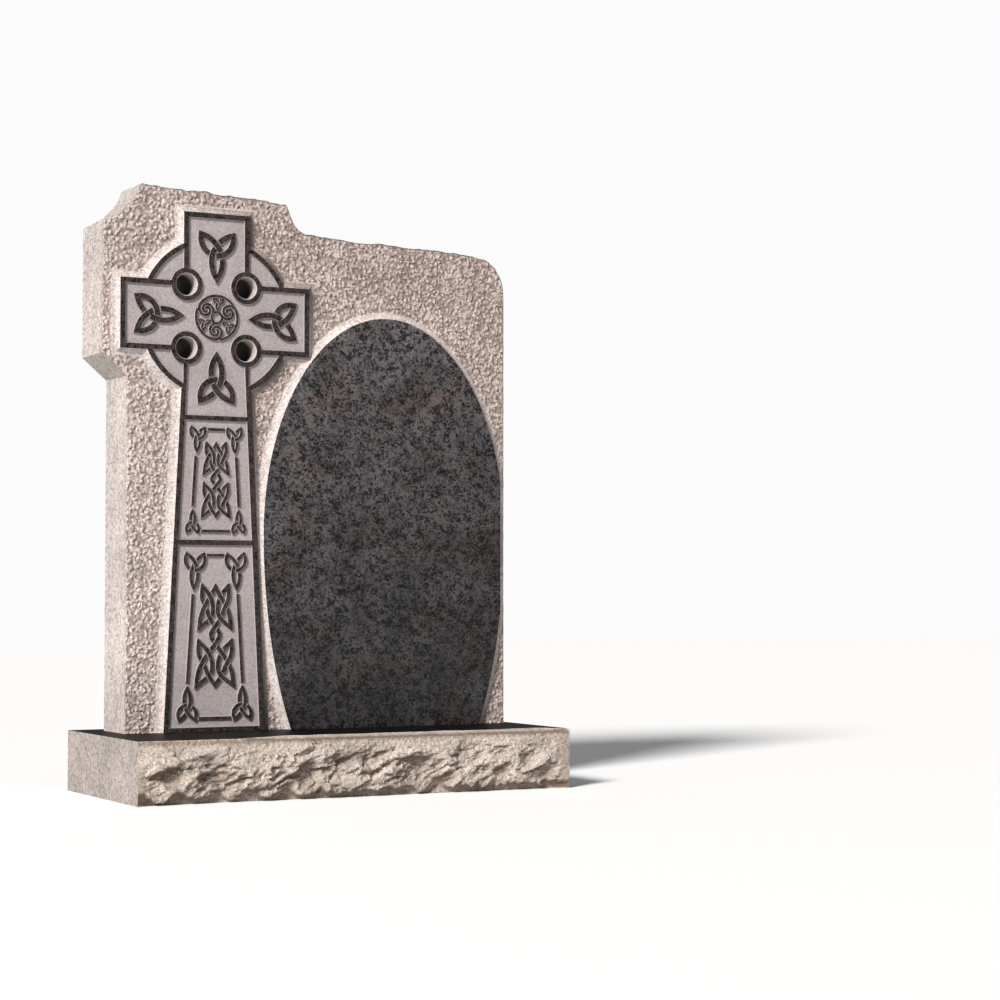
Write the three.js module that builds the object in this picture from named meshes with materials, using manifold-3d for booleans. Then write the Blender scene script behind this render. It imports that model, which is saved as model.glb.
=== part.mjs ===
// Celtic cross headstone: one carved granite slab standing on a rock-faced granite base.
// Millimetres, +X right, +Y back, +Z up. The origin is the middle of the base's underside.
// A drawing point is [x, z] on the stone's front, and depth runs back along +Y.

import * as THREE from 'three';
import { mergeVertices } from 'three/addons/utils/BufferGeometryUtils.js';
import Module from 'manifold-3d';

const wasm = await Module();
wasm.setup();

// Base
const BASE_WIDTH = 762;
const BASE_DEPTH = 350;
const BASE_HEIGHT = 100;
const PITCHED_FACE_BULGE = 16;
const PITCHED_FACE_UNDERCUT = 9;
const PITCHED_MARGIN_DROP = 5;
const PITCHED_MARGIN_LEFT = -190;
const BASE_END_MARGIN = 30;
const BASE_ROWS_BACK = [0, 14, 42, 190, BASE_DEPTH];
const BASE_STEPS_ACROSS = 32;
const BASE_STEPS_UP = 5;

// Slab
const FACE_Y = 18;
const RAISED_HEIGHT = 10;
const RAISED_FLARE = 12;
const GROUND_Y = FACE_Y + RAISED_HEIGHT;
const SLAB_BACK_Y = GROUND_Y + 102;
const SLAB_RIGHT = 365;
const SLAB_FOOT_LEFT = -334;
const SHOULDER_LEFT = -376;
const WAIST_LOW = 682;
const WAIST_HIGH = 718;
const TOP_LEFT_HEIGHT = 1003;
const TOP_STEP_HEIGHT = 988;
const SCOOP_SIZE = 66;
const SCOOP_HOLLOW = 0.71;
const STEP_X = -52;
const STEP_SIZE = 50;
const STEP_HOLLOW = 0.72;
const TOP_RIGHT_HEIGHT = 926;
const CORNER_RADIUS = 68;
const TOP_ROUGHNESS = 3;
const TOP_LEFT_BREAKS = 14;
const TOP_RIGHT_BREAKS = 16;

// Oval inscription face
const OVAL_X = 131.5;
const OVAL_Z = 430;
const OVAL_HALF_WIDTH = 228;
const OVAL_RISE = 370;
const OVAL_FALL = 525;

// Cross
const CROSS_X = -182;
const CROSS_Z = 784.5;
const ARM_REACH = 166.5;
const ARM_TOP = 173.5;
const ARM_HALF = 58;
const FOOT_HALF = 88.5;
const BORDER = 9;
const CARVED_DEPTH = 3.5;
const RING_RADIUS = 133.5;
const RING_BORDER = 8.5;
const BORE_OFFSET = 52.5;
const BORE_RADIUS = 18;
const BORE_MOUTH_RADIUS = 19.2;
const BORE_MOUTH_DEPTH = 1.5;
const BORE_COLLAR_RADIUS = 27.5;
const UPPER_BAR = [613, 621.5];
const MIDDLE_BAR = [406.8, 416];
const LOWER_BAR_TOP = 108;

// Knotwork
const ARM_STRAND = 10;
const CROSSING_GAP = 1;
const BAR_WIDTH = 5.4;
const BAR_GAP = 3;
const MITRE_LIMIT = 1.5;
const ARC_STEPS = 7;
const LEAF_FULLNESS = 0.15;
const LONG_LEAF_SHARE = 0.62;
const FOOT_KNOT_SHARE = 0.92;
const TOP_KNOT_LEAN = 0.04;
const TIP_INSET = 0.6;
const LINK_HALF = 7.6;
const ARM_KNOT = { reach: 110, length: 90, span: 68 };
const SPLINE_STEPS = 3;

// The roundel: angles in degrees, a spiral's and the small knots' places as distances from its middle
const ROUNDEL_RADIUS = 39;
const ROUNDEL_STRAND = 4.8;
const ROUNDEL_LEAN = -95;
const SPIRAL_COUNT = 3;
const SPIRAL_REACH = 22.4;
const SPIRAL_EYE = 2.4;
const SPIRAL_TURNS = 0.95;
const SPIRAL_EASE = 0.85;
const SPIRAL_STEPS = 10;
const HUB_RADIUS = 9.1;
const RIM_SWEEP = 108;
const HUB_SWEEP = 100;
const SWEEP_STEPS = 4;
const ROUNDEL_KNOT = { reach: 24.2, length: 25, span: 22, strand: 4 };

// How many straight sides the round shapes have
const SEGMENTS = { arc: 16, bore: 24, ring: 44, oval: 30 };

const STONE_COLOURS = { slab: 0xb9aea7, base: 0xb5a99c };

// A repeatable random number from 0 to 1 for a grid place
function chance(i, j) {
  const wave = Math.sin(i * 127.1 + j * 311.7 + 17.3) * 43758.5453;
  return wave - Math.floor(wave);
}

// Smooth noise from 0 to 1
function noise(x, z) {
  const i = Math.floor(x);
  const j = Math.floor(z);
  const u = THREE.MathUtils.smoothstep(x - i, 0, 1);
  const v = THREE.MathUtils.smoothstep(z - j, 0, 1);
  const low = THREE.MathUtils.lerp(chance(i, j), chance(i + 1, j), u);
  const high = THREE.MathUtils.lerp(chance(i, j + 1), chance(i + 1, j + 1), u);
  return THREE.MathUtils.lerp(low, high, v);
}

// Solids

function toSolid(geometry) {
  geometry.deleteAttribute('normal');
  geometry.deleteAttribute('uv');
  const merged = mergeVertices(geometry, 1e-4);
  return new wasm.Manifold(new wasm.Mesh({
    numProp: 3,
    vertProperties: new Float32Array(merged.attributes.position.array),
    triVerts: new Uint32Array(merged.index.array),
  }));
}

function toGeometry(solid) {
  const mesh = solid.getMesh();
  const geometry = new THREE.BufferGeometry();
  geometry.setAttribute('position', new THREE.BufferAttribute(mesh.vertProperties, 3));
  geometry.setIndex(new THREE.BufferAttribute(mesh.triVerts, 1));
  geometry.computeVertexNormals();
  return geometry;
}

// A drawing pushed back from frontY to backY
function cut(shape, frontY, backY, curveSegments = SEGMENTS.arc) {
  const settings = { depth: backY - frontY, bevelEnabled: false, curveSegments };
  const geometry = new THREE.ExtrudeGeometry(shape, settings);
  geometry.rotateX(Math.PI / 2);
  geometry.translate(0, backY, 0);
  return toSolid(geometry);
}

// A drawing raised from the ground of the stone, with sides that slope out to it
function raise(shape, curveSegments) {
  const geometry = new THREE.ExtrudeGeometry(shape, {
    depth: RAISED_HEIGHT,
    bevelThickness: RAISED_HEIGHT,
    bevelSize: RAISED_FLARE,
    bevelSegments: 1,
    curveSegments,
  });
  geometry.rotateX(Math.PI / 2);
  geometry.translate(0, FACE_Y + 2 * RAISED_HEIGHT, 0);
  return toSolid(geometry);
}

function polygon(points) {
  return new THREE.Shape(points.map(([x, z]) => new THREE.Vector2(x, z)));
}

function disc(x, z, radius) {
  return new THREE.Shape().absarc(x, z, radius, 0, 2 * Math.PI, false);
}

// A round hole or collar through the stone: [radius, y] pairs along its axis
function turned(x, z, profile) {
  const closed = [[0, profile[0][1]], ...profile, [0, profile.at(-1)[1]]];
  const points = closed.map(([r, y]) => new THREE.Vector2(r, y));
  const geometry = new THREE.LatheGeometry(points, SEGMENTS.bore);
  geometry.translate(x, 0, z);
  return toSolid(geometry);
}

// Slab

// A split edge from where the drawing stands to a corner
function roughLine(shape, [x1, z1], steps) {
  const { x: x0, y: z0 } = shape.currentPoint;
  for (let step = 1; step < steps; step += 1) {
    const share = step / steps;
    const x = THREE.MathUtils.lerp(x0, x1, share);
    shape.lineTo(x, THREE.MathUtils.lerp(z0, z1, share) - TOP_ROUGHNESS * chance(step, x1));
  }
  shape.lineTo(x1, z1);
}

function slabOutline() {
  const scoopBend = SCOOP_HOLLOW * SCOOP_SIZE;
  const stepFoot = TOP_STEP_HEIGHT - STEP_SIZE;
  const cornerCentre = [SLAB_RIGHT - CORNER_RADIUS, TOP_RIGHT_HEIGHT - CORNER_RADIUS];
  const shape = new THREE.Shape();
  shape.moveTo(SLAB_FOOT_LEFT, BASE_HEIGHT);
  shape.lineTo(SLAB_RIGHT, BASE_HEIGHT);
  shape.absarc(...cornerCentre, CORNER_RADIUS, 0, Math.PI / 2, false);
  roughLine(shape, [STEP_X + STEP_SIZE, stepFoot], TOP_RIGHT_BREAKS);
  shape.quadraticCurveTo(STEP_X + STEP_SIZE * (1 - STEP_HOLLOW), stepFoot, STEP_X, TOP_STEP_HEIGHT);
  roughLine(shape, [SHOULDER_LEFT + SCOOP_SIZE, TOP_LEFT_HEIGHT], TOP_LEFT_BREAKS);
  shape.quadraticCurveTo(
    SHOULDER_LEFT + scoopBend,
    TOP_LEFT_HEIGHT - scoopBend,
    SHOULDER_LEFT,
    TOP_LEFT_HEIGHT - SCOOP_SIZE,
  );
  shape.lineTo(SHOULDER_LEFT, WAIST_HIGH);
  shape.lineTo(SLAB_FOOT_LEFT, WAIST_LOW);
  return shape;
}

function ovalOutline() {
  const shape = new THREE.Shape();
  shape.absellipse(OVAL_X, OVAL_Z, OVAL_HALF_WIDTH, OVAL_RISE, 0, Math.PI, false, 0);
  shape.absellipse(OVAL_X, OVAL_Z, OVAL_HALF_WIDTH, OVAL_FALL, Math.PI, 2 * Math.PI, false, 0);
  return shape;
}

// Cross

// Half the shaft's width at a height
function shaftHalf(z) {
  const top = CROSS_Z - ARM_HALF;
  return THREE.MathUtils.mapLinear(z, top, BASE_HEIGHT, ARM_HALF, FOOT_HALF);
}

// The cross's outline drawn in by a border, its shaft ending at footZ
function crossOutline(border, footZ) {
  const arm = ARM_HALF - border;
  const reach = ARM_REACH - border;
  const top = ARM_TOP - border;
  const foot = shaftHalf(footZ) - border;
  const right = [[foot, footZ - CROSS_Z], [arm, -arm], [reach, -arm], [reach, arm], [arm, arm], [arm, top]];
  const left = right.map(([x, z]) => [-x, z]).reverse();
  return polygon([...right, ...left].map(([x, z]) => [CROSS_X + x, CROSS_Z + z]));
}

function shaftPanel(low, high) {
  const lowHalf = shaftHalf(low) - BORDER;
  const highHalf = shaftHalf(high) - BORDER;
  return polygon([[-lowHalf, low], [lowHalf, low], [highHalf, high], [-highHalf, high]]
    .map(([x, z]) => [CROSS_X + x, z]));
}

function borePlaces() {
  const places = [];
  for (const sideX of [-1, 1]) {
    for (const sideZ of [-1, 1]) {
      places.push([CROSS_X + sideX * BORE_OFFSET, CROSS_Z + sideZ * BORE_OFFSET]);
    }
  }
  return places;
}

// The sunk grounds inside the borders, which the knotwork stands on
function sunkGrounds() {
  const front = FACE_Y - 1;
  const floor = FACE_Y + CARVED_DEPTH;
  let grounds = cut(crossOutline(BORDER, UPPER_BAR[1]), front, floor);
  grounds = grounds.add(cut(shaftPanel(MIDDLE_BAR[1], UPPER_BAR[0]), front, floor));
  grounds = grounds.add(cut(shaftPanel(LOWER_BAR_TOP, MIDDLE_BAR[0]), front, floor));
  const ring = cut(disc(CROSS_X, CROSS_Z, RING_RADIUS - RING_BORDER), front, floor, SEGMENTS.ring);
  grounds = grounds.add(ring.subtract(cut(crossOutline(0, BASE_HEIGHT), front - 1, floor + 1)));
  for (const [x, z] of borePlaces()) {
    const collar = turned(x, z, [[BORE_COLLAR_RADIUS, front - 1], [BORE_COLLAR_RADIUS, floor + 1]]);
    grounds = grounds.subtract(collar);
  }
  return grounds;
}

function bore(x, z) {
  const deep = SLAB_BACK_Y + 1;
  const mouth = FACE_Y + BORE_MOUTH_DEPTH;
  return turned(x, z, [
    [BORE_MOUTH_RADIUS, FACE_Y - 1],
    [BORE_MOUTH_RADIUS, FACE_Y],
    [BORE_RADIUS, mouth],
    [BORE_RADIUS, deep],
  ]);
}

// Knotwork

function minus(a, b) {
  return [a[0] - b[0], a[1] - b[1]];
}

function unit([x, z]) {
  const size = Math.hypot(x, z);
  return [x / size, z / size];
}

// The angle that one way turns through to become another
function turnBetween([ax, az], [bx, bz]) {
  return Math.atan2(ax * bz - az * bx, ax * bx + az * bz);
}

function smooth(points) {
  const curve = new THREE.SplineCurve(points.map(([x, z]) => new THREE.Vector2(x, z)));
  return curve.getPoints((points.length - 1) * SPLINE_STEPS).map(({ x, y }) => [x, y]);
}

// An arc of a circle from one point through a second to a third
function arcThrough(a, b, c) {
  const [bx, bz] = minus(b, a);
  const [cx, cz] = minus(c, a);
  const twice = 2 * (bx * cz - bz * cx);
  const ux = (cz * (bx * bx + bz * bz) - bz * (cx * cx + cz * cz)) / twice;
  const uz = (bx * (cx * cx + cz * cz) - cx * (bx * bx + bz * bz)) / twice;
  const start = Math.atan2(-uz, -ux);
  let sweep = Math.atan2(cz - uz, cx - ux) - start;
  if (twice > 0 && sweep < 0) sweep += 2 * Math.PI;
  if (twice < 0 && sweep > 0) sweep -= 2 * Math.PI;
  const points = [];
  for (let step = 0; step <= ARC_STEPS; step += 1) {
    const angle = start + sweep * step / ARC_STEPS;
    points.push([
      a[0] + ux + Math.hypot(ux, uz) * Math.cos(angle),
      a[1] + uz + Math.hypot(ux, uz) * Math.sin(angle),
    ]);
  }
  return points;
}

// Where two straight steps cross, as the shares of the way along each
function crossing(a, b, c, d) {
  const [rx, rz] = minus(b, a);
  const [sx, sz] = minus(d, c);
  const area = rx * sz - rz * sx;
  if (Math.abs(area) < 1e-9) return null;
  const [qx, qz] = minus(c, a);
  const t = (qx * sz - qz * sx) / area;
  const u = (qx * rz - qz * rx) / area;
  return t >= 0 && t < 1 && u >= 0 && u < 1 ? { t, u } : null;
}

// The crossings met along a closed loop of runs, each as { run, along, lean }
function crossingsOnLoop(runs) {
  const steps = runs.flatMap((run, index) => run.slice(1).map((end, k) => ({
    run: index,
    start: run[k],
    end,
    before: run.slice(0, k).reduce((sum, point, n) => sum + Math.hypot(...minus(run[n + 1], point)), 0),
  })));
  const met = [];
  for (let i = 0; i < steps.length; i += 1) {
    for (let j = i + 2; j < steps.length; j += 1) {
      if (i === 0 && j === steps.length - 1) continue;
      const hit = crossing(steps[i].start, steps[i].end, steps[j].start, steps[j].end);
      if (!hit) continue;
      const first = minus(steps[i].end, steps[i].start);
      const second = minus(steps[j].end, steps[j].start);
      const turn = turnBetween(first, second);
      for (const [place, share, way, lean] of [[i, hit.t, first, turn], [j, hit.u, second, -turn]]) {
        const { run, before } = steps[place];
        met.push({ order: place + share, run, along: before + share * Math.hypot(...way), lean });
      }
    }
  }
  return met.sort((a, b) => a.order - b.order);
}

// The part of a run between two lengths along it, straight for a short way at each end
function stretch(run, from, to, straightStart, straightEnd) {
  const points = [];
  let length = 0;
  for (let k = 1; k < run.length; k += 1) {
    const step = Math.hypot(...minus(run[k], run[k - 1]));
    const at = (target) => {
      const share = (target - length) / step;
      return run[k].map((value, axis) => THREE.MathUtils.lerp(run[k - 1][axis], value, share));
    };
    if (from >= length && from < length + step) points.push(at(from));
    if (length + step > from + straightStart && length + step < to - straightEnd) points.push(run[k]);
    if (to > length && to <= length + step + 1e-6) points.push(at(to));
    length += step;
  }
  return points;
}

// One flat band along a run; each end has a reach past the run on its left and right edge
function band(points, width, startReach = [0, 0], endReach = [0, 0]) {
  const left = [];
  const right = [];
  points.forEach((point, k) => {
    const isLast = k === points.length - 1;
    const back = k === 0 ? unit(minus(points[1], point)) : unit(minus(point, points[k - 1]));
    const ahead = isLast ? back : unit(minus(points[k + 1], point));
    const way = unit([back[0] + ahead[0], back[1] + ahead[1]]);
    const half = width / 2 / (way[0] * ahead[0] + way[1] * ahead[1]);
    let reach = isLast ? endReach : [0, 0];
    if (k === 0) reach = startReach.map((value) => -value);
    const [x, z] = point;
    left.push([x - way[1] * half + way[0] * reach[0], z + way[0] * half + way[1] * reach[0]]);
    right.push([x + way[1] * half + way[0] * reach[1], z - way[0] * half + way[1] * reach[1]]);
  });
  return polygon([...right, ...left.reverse()]);
}

// How far a band's two edges run past a sharp corner so that it meets the next band in a point
function cornerReach(into, outOf, width) {
  const turn = turnBetween(into, outOf);
  const reach = Math.min(Math.tan(Math.abs(turn) / 2), MITRE_LIMIT) * width / 2;
  return turn > 0 ? [0, reach] : [reach, 0];
}

// The bands of a closed loop of runs, over and under itself by turns
function interlace(runs, width) {
  const met = crossingsOnLoop(runs);
  return runs.flatMap((run, index) => {
    const total = run.slice(1).reduce((sum, point, k) => sum + Math.hypot(...minus(point, run[k])), 0);
    const previous = runs[(index + runs.length - 1) % runs.length];
    const next = runs[(index + 1) % runs.length];
    const firstWay = unit(minus(run[1], run[0]));
    const lastWay = unit(minus(run.at(-1), run.at(-2)));
    const startReach = cornerReach(unit(minus(previous.at(-1), previous.at(-2))), firstWay, width);
    const endReach = cornerReach(lastWay, unit(minus(next[1], next[0])), width);
    const pieces = [{ from: 0, startReach, startSlant: 0 }];
    met.forEach(({ run: owner, along, lean }, order) => {
      if (owner !== index || order % 2 === 0) return;
      const clear = (width / 2 + CROSSING_GAP) / Math.abs(Math.sin(lean));
      const slant = width / 2 / Math.tan(lean);
      Object.assign(pieces.at(-1), { to: along - clear, endSlant: slant });
      pieces.push({ from: along + clear, startSlant: -slant });
    });
    Object.assign(pieces.at(-1), { to: total, endReach, endSlant: 0 });
    return pieces.filter(({ from, to }) => to - from > width / 2).map((piece) => {
      const most = 0.4 * (piece.to - piece.from);
      const start = THREE.MathUtils.clamp(piece.startSlant, -most, most);
      const end = THREE.MathUtils.clamp(piece.endSlant, -most, most);
      const points = stretch(run, piece.from, piece.to, Math.abs(start) + 1, Math.abs(end) + 1);
      return band(points, width, piece.startReach ?? [start, -start], piece.endReach ?? [end, -end]);
    });
  });
}

// A three-pointed knot round a middle, its long leaf pointing along the way, from its whole length and span
function triquetra([x, z], [wayX, wayZ], length, span, width) {
  const place = ([along, across]) => [x + wayX * along - wayZ * across, z + wayZ * along + wayX * across];
  const leaf = length * LONG_LEAF_SHARE - width;
  const backLeaf = length * (1 - LONG_LEAF_SHARE) - width * TIP_INSET;
  const side = span / 2 - width * TIP_INSET;
  const tips = [[leaf, 0], [-backLeaf, side], [-backLeaf, -side]];
  const runs = [[0, 1, 2], [1, 2, 0], [2, 0, 1]].map(([from, to, third]) => {
    const through = tips[third].map((value) => value * LEAF_FULLNESS);
    return arcThrough(place(tips[from]), place(through), place(tips[to]));
  });
  return interlace(runs, width);
}

// Two four-pointed knots on one endless strand, linked by a loop, from their heights and half widths
function doubleKnot(upper, lower, strand) {
  const at = (knot, u, v) => {
    const share = (v + 1) / 2;
    const half = THREE.MathUtils.lerp(knot.lowHalf, knot.highHalf, share) - strand / 2;
    const z = THREE.MathUtils.lerp(knot.low + strand / 2, knot.high - strand / 2, share);
    return [CROSS_X + u * half, z];
  };
  const mirrored = (points) => points.map(([x, z]) => [2 * CROSS_X - x, z]).reverse();
  const through = (knot, places) => places.map(([u, v]) => at(knot, u, v));
  const inner = [[-1, 1], [-0.42, 0.55], [-0.17, 0], [-0.3, -0.5], [-1, -1]];
  const innerStrand = (knot) => smooth(through(knot, inner));
  const outerToMiddle = (knot) => through(knot, [[-1, 1], [-0.98, 0.45], [-0.62, -0.1], [-0.3, -0.62]]);
  const footToMiddle = (knot) => through(knot, [[-1, -1], [-0.95, -0.4], [-0.68, 0.15], [-0.3, 0.6]]);
  const crown = smooth([...footToMiddle(upper), at(upper, 0, 0.97)]);
  const bridge = smooth([
    ...outerToMiddle(upper),
    at(upper, 0, -0.92),
    [CROSS_X + LINK_HALF, (upper.low + lower.high) / 2],
    at(lower, 0, 0.9),
    ...footToMiddle(lower).reverse(),
  ]);
  const cradle = smooth([...outerToMiddle(lower), at(lower, 0, -0.97)]);
  return interlace([
    crown,
    mirrored(crown),
    mirrored(innerStrand(upper)),
    mirrored(bridge).reverse(),
    mirrored(innerStrand(lower)),
    mirrored(cradle).reverse(),
    cradle.slice().reverse(),
    innerStrand(lower),
    bridge.slice().reverse(),
    innerStrand(upper),
  ], strand);
}

// A strand that sweeps round the roundel at a radius, meets the spiral that leans there, and curls to its eye
function spiralArm(radius, lean, sweep) {
  const points = [];
  for (let step = 0; step < SWEEP_STEPS; step += 1) {
    const angle = lean - sweep * (1 - step / SWEEP_STEPS);
    points.push([CROSS_X + radius * Math.cos(angle), CROSS_Z + radius * Math.sin(angle)]);
  }
  const facing = radius > SPIRAL_REACH ? lean : lean + Math.PI;
  for (let step = 0; step <= SPIRAL_STEPS; step += 1) {
    const share = step / SPIRAL_STEPS;
    const size = THREE.MathUtils.lerp(Math.abs(radius - SPIRAL_REACH), SPIRAL_EYE, share ** SPIRAL_EASE);
    const angle = facing + 2 * Math.PI * SPIRAL_TURNS * share;
    points.push([
      CROSS_X + SPIRAL_REACH * Math.cos(lean) + size * Math.cos(angle),
      CROSS_Z + SPIRAL_REACH * Math.sin(lean) + size * Math.sin(angle),
    ]);
  }
  return band(points, ROUNDEL_STRAND);
}

// The round knot in the middle of the cross: double spirals round a hub, and a small knot between each two
function roundel() {
  const { degToRad } = THREE.MathUtils;
  const shapes = [];
  for (let turn = 0; turn < SPIRAL_COUNT; turn += 1) {
    const lean = degToRad(ROUNDEL_LEAN + 360 * turn / SPIRAL_COUNT);
    shapes.push(spiralArm(ROUNDEL_RADIUS - ROUNDEL_STRAND / 2, lean, degToRad(RIM_SWEEP)));
    shapes.push(spiralArm(HUB_RADIUS, lean, -degToRad(HUB_SWEEP)));
    const between = lean + Math.PI / SPIRAL_COUNT;
    const way = [Math.cos(between), Math.sin(between)];
    const middle = [CROSS_X + way[0] * ROUNDEL_KNOT.reach, CROSS_Z + way[1] * ROUNDEL_KNOT.reach];
    const inwards = way.map((value) => -value);
    shapes.push(...triquetra(middle, inwards, ROUNDEL_KNOT.length, ROUNDEL_KNOT.span, ROUNDEL_KNOT.strand));
  }
  return shapes;
}

function bar([x0, z0], [x1, z1]) {
  return band([[CROSS_X + x0, z0], [CROSS_X + x1, z1]], BAR_WIDTH);
}

// A shaft panel's knotwork: a knot in each corner, bars between them, and a double knot
function panelKnots(panel) {
  const { top, bottom, cornerHeight, topOuter, topInner, footOuter, footInner, cornerStrand } = panel;
  const topMiddle = (topOuter + topInner) / 2;
  const footMiddle = (footOuter + footInner) / 2;
  const footHeight = cornerHeight * FOOT_KNOT_SHARE;
  const shapes = doubleKnot(panel.upper, panel.lower, panel.strand);
  for (const side of [-1, 1]) {
    const topKnot = [CROSS_X + side * topMiddle, top - cornerHeight * (1 - LONG_LEAF_SHARE)];
    const footKnot = [CROSS_X + side * footMiddle, bottom + footHeight * (1 - LONG_LEAF_SHARE)];
    const topWay = unit([side * TOP_KNOT_LEAN, -1]);
    shapes.push(...triquetra(topKnot, topWay, cornerHeight, topOuter - topInner, cornerStrand));
    shapes.push(...triquetra(footKnot, [0, 1], footHeight, footOuter - footInner, cornerStrand));
    shapes.push(bar(
      [side * (topMiddle + BAR_GAP), top - cornerHeight - BAR_GAP],
      [side * footMiddle, bottom + footHeight + BAR_GAP],
    ));
  }
  for (const [inner, z] of [[topInner, top - BAR_WIDTH], [footInner, bottom + BAR_WIDTH]]) {
    shapes.push(bar([BAR_GAP - inner, z], [inner - BAR_GAP, z]));
  }
  return shapes;
}

const PANELS = [
  {
    strand: 6, cornerStrand: 5.2,
    top: 604, bottom: 425, cornerHeight: 47, topOuter: 47, topInner: 18, footOuter: 53, footInner: 28,
    upper: { high: 578, low: 523, highHalf: 19.5, lowHalf: 24 },
    lower: { high: 511, low: 452, highHalf: 23.5, lowHalf: 26.5 },
  },
  {
    strand: 7.6, cornerStrand: 6.4,
    top: 396, bottom: 117, cornerHeight: 66, topOuter: 54.5, topInner: 18, footOuter: 65.5, footInner: 31,
    upper: { high: 343, low: 267, highHalf: 26, lowHalf: 31.5 },
    lower: { high: 252, low: 172, highHalf: 32, lowHalf: 36 },
  },
];

function knotwork() {
  const shapes = [...roundel(), ...PANELS.flatMap(panelKnots)];
  for (const way of [[1, 0], [0, 1], [-1, 0], [0, -1]]) {
    const middle = [CROSS_X + way[0] * ARM_KNOT.reach, CROSS_Z + way[1] * ARM_KNOT.reach];
    shapes.push(...triquetra(middle, way.map((v) => -v), ARM_KNOT.length, ARM_KNOT.span, ARM_STRAND));
  }
  const back = FACE_Y + CARVED_DEPTH + 1;
  return shapes.map((shape) => cut(shape, FACE_Y, back)).reduce((all, one) => all.add(one));
}

function headstone() {
  const outline = slabOutline();
  const block = cut(outline, FACE_Y - 2, SLAB_BACK_Y);
  let raised = raise(crossOutline(0, BASE_HEIGHT - RAISED_FLARE));
  raised = raised.add(raise(disc(CROSS_X, CROSS_Z, RING_RADIUS), SEGMENTS.ring));
  raised = raised.add(raise(ovalOutline(), SEGMENTS.oval));
  raised = raised.subtract(sunkGrounds()).add(knotwork());
  let stone = cut(outline, GROUND_Y, SLAB_BACK_Y).add(raised.intersect(block));
  for (const [x, z] of borePlaces()) {
    stone = stone.subtract(bore(x, z));
  }
  return stone;
}

// Base

// From 0 at either end of the base to 1 past its end margin
function inFromEnd(x) {
  return Math.min(1, (BASE_WIDTH / 2 - Math.abs(x)) / BASE_END_MARGIN);
}

// How far the split front stands out at a place: broad and small breaks on a bulge, undercut at the foot
function splitFace(x, z) {
  const up = z / BASE_HEIGHT;
  const bulge = Math.sin(Math.PI * 0.96 * up) ** 0.7;
  const broken = 0.65 * noise(x / 58 + 7, z / 34 + 3) + 0.35 * noise(x / 23 + 2, z / 17 + 9);
  return inFromEnd(x) * (bulge * PITCHED_FACE_BULGE * broken - (1 - up) ** 3 * PITCHED_FACE_UNDERCUT);
}

function base() {
  const spans = BASE_ROWS_BACK.length - 1;
  const geometry = new THREE.BoxGeometry(
    BASE_WIDTH, BASE_DEPTH, BASE_HEIGHT, BASE_STEPS_ACROSS, spans, BASE_STEPS_UP);
  geometry.translate(0, 0, BASE_HEIGHT / 2);
  const place = geometry.attributes.position;
  for (let k = 0; k < place.count; k += 1) {
    const [x, z] = [place.getX(k), place.getZ(k)];
    const row = Math.round((place.getY(k) / BASE_DEPTH + 0.5) * spans);
    const y = BASE_ROWS_BACK[row] - BASE_DEPTH / 2;
    place.setY(k, row === 0 ? y - splitFace(x, z) : y);
    if (z === BASE_HEIGHT && row < 2 && x > PITCHED_MARGIN_LEFT) {
      const drop = PITCHED_MARGIN_DROP * inFromEnd(x) * (0.4 + 0.6 * noise(x / 40, row));
      place.setZ(k, z - (row === 0 ? drop : drop * 0.6));
    }
  }
  return toSolid(geometry);
}

// The memorial

function piece(name, solid, color) {
  const mesh = new THREE.Mesh(
    toGeometry(solid),
    new THREE.MeshStandardMaterial({ color, roughness: 0.7, metalness: 0 }),
  );
  mesh.name = name;
  return mesh;
}

const group = new THREE.Group();
group.add(piece('headstone', headstone(), STONE_COLOURS.slab));
group.add(piece('base', base(), STONE_COLOURS.base));

export default group;
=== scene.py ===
"""A celtic cross headstone: a carved granite slab on a rock-faced granite base.

Metres, +X right, +Y back, +Z up, with the origin in the middle of the base's underside.
A drawing point is (x, z) on the stone's front, and depth runs back along +Y.
"""

import math

import bmesh
import bpy
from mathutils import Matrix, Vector, noise


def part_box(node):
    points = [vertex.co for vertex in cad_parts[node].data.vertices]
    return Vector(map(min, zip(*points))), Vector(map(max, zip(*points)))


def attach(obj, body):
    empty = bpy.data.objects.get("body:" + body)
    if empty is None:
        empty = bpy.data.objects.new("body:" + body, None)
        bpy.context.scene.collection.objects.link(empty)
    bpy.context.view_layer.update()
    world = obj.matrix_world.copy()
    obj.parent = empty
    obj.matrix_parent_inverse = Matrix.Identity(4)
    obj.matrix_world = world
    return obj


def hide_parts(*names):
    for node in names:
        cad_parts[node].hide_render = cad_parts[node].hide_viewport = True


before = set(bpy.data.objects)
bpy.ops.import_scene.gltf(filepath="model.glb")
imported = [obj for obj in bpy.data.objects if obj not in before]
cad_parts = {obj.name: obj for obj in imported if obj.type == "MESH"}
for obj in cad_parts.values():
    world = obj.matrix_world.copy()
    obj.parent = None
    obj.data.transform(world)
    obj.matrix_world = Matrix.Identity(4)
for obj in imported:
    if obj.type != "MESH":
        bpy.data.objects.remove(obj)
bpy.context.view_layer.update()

bl_info = {
    "name": "Celtic Cross Headstone",
    "version": (1, 0, 0),
    "blender": (4, 5, 0),
    "location": "View3D > Sidebar > Memorial",
    "description": "Builds a carved granite headstone with a raised knotwork cross on a rock-faced base",
    "category": "Add Mesh",
}

SLAB_LOW, SLAB_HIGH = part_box("headstone")
BASE_LOW, BASE_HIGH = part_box("base")
# Keeps the rough stone the same in every run
NOISE_SEED = 1795741030

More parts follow.
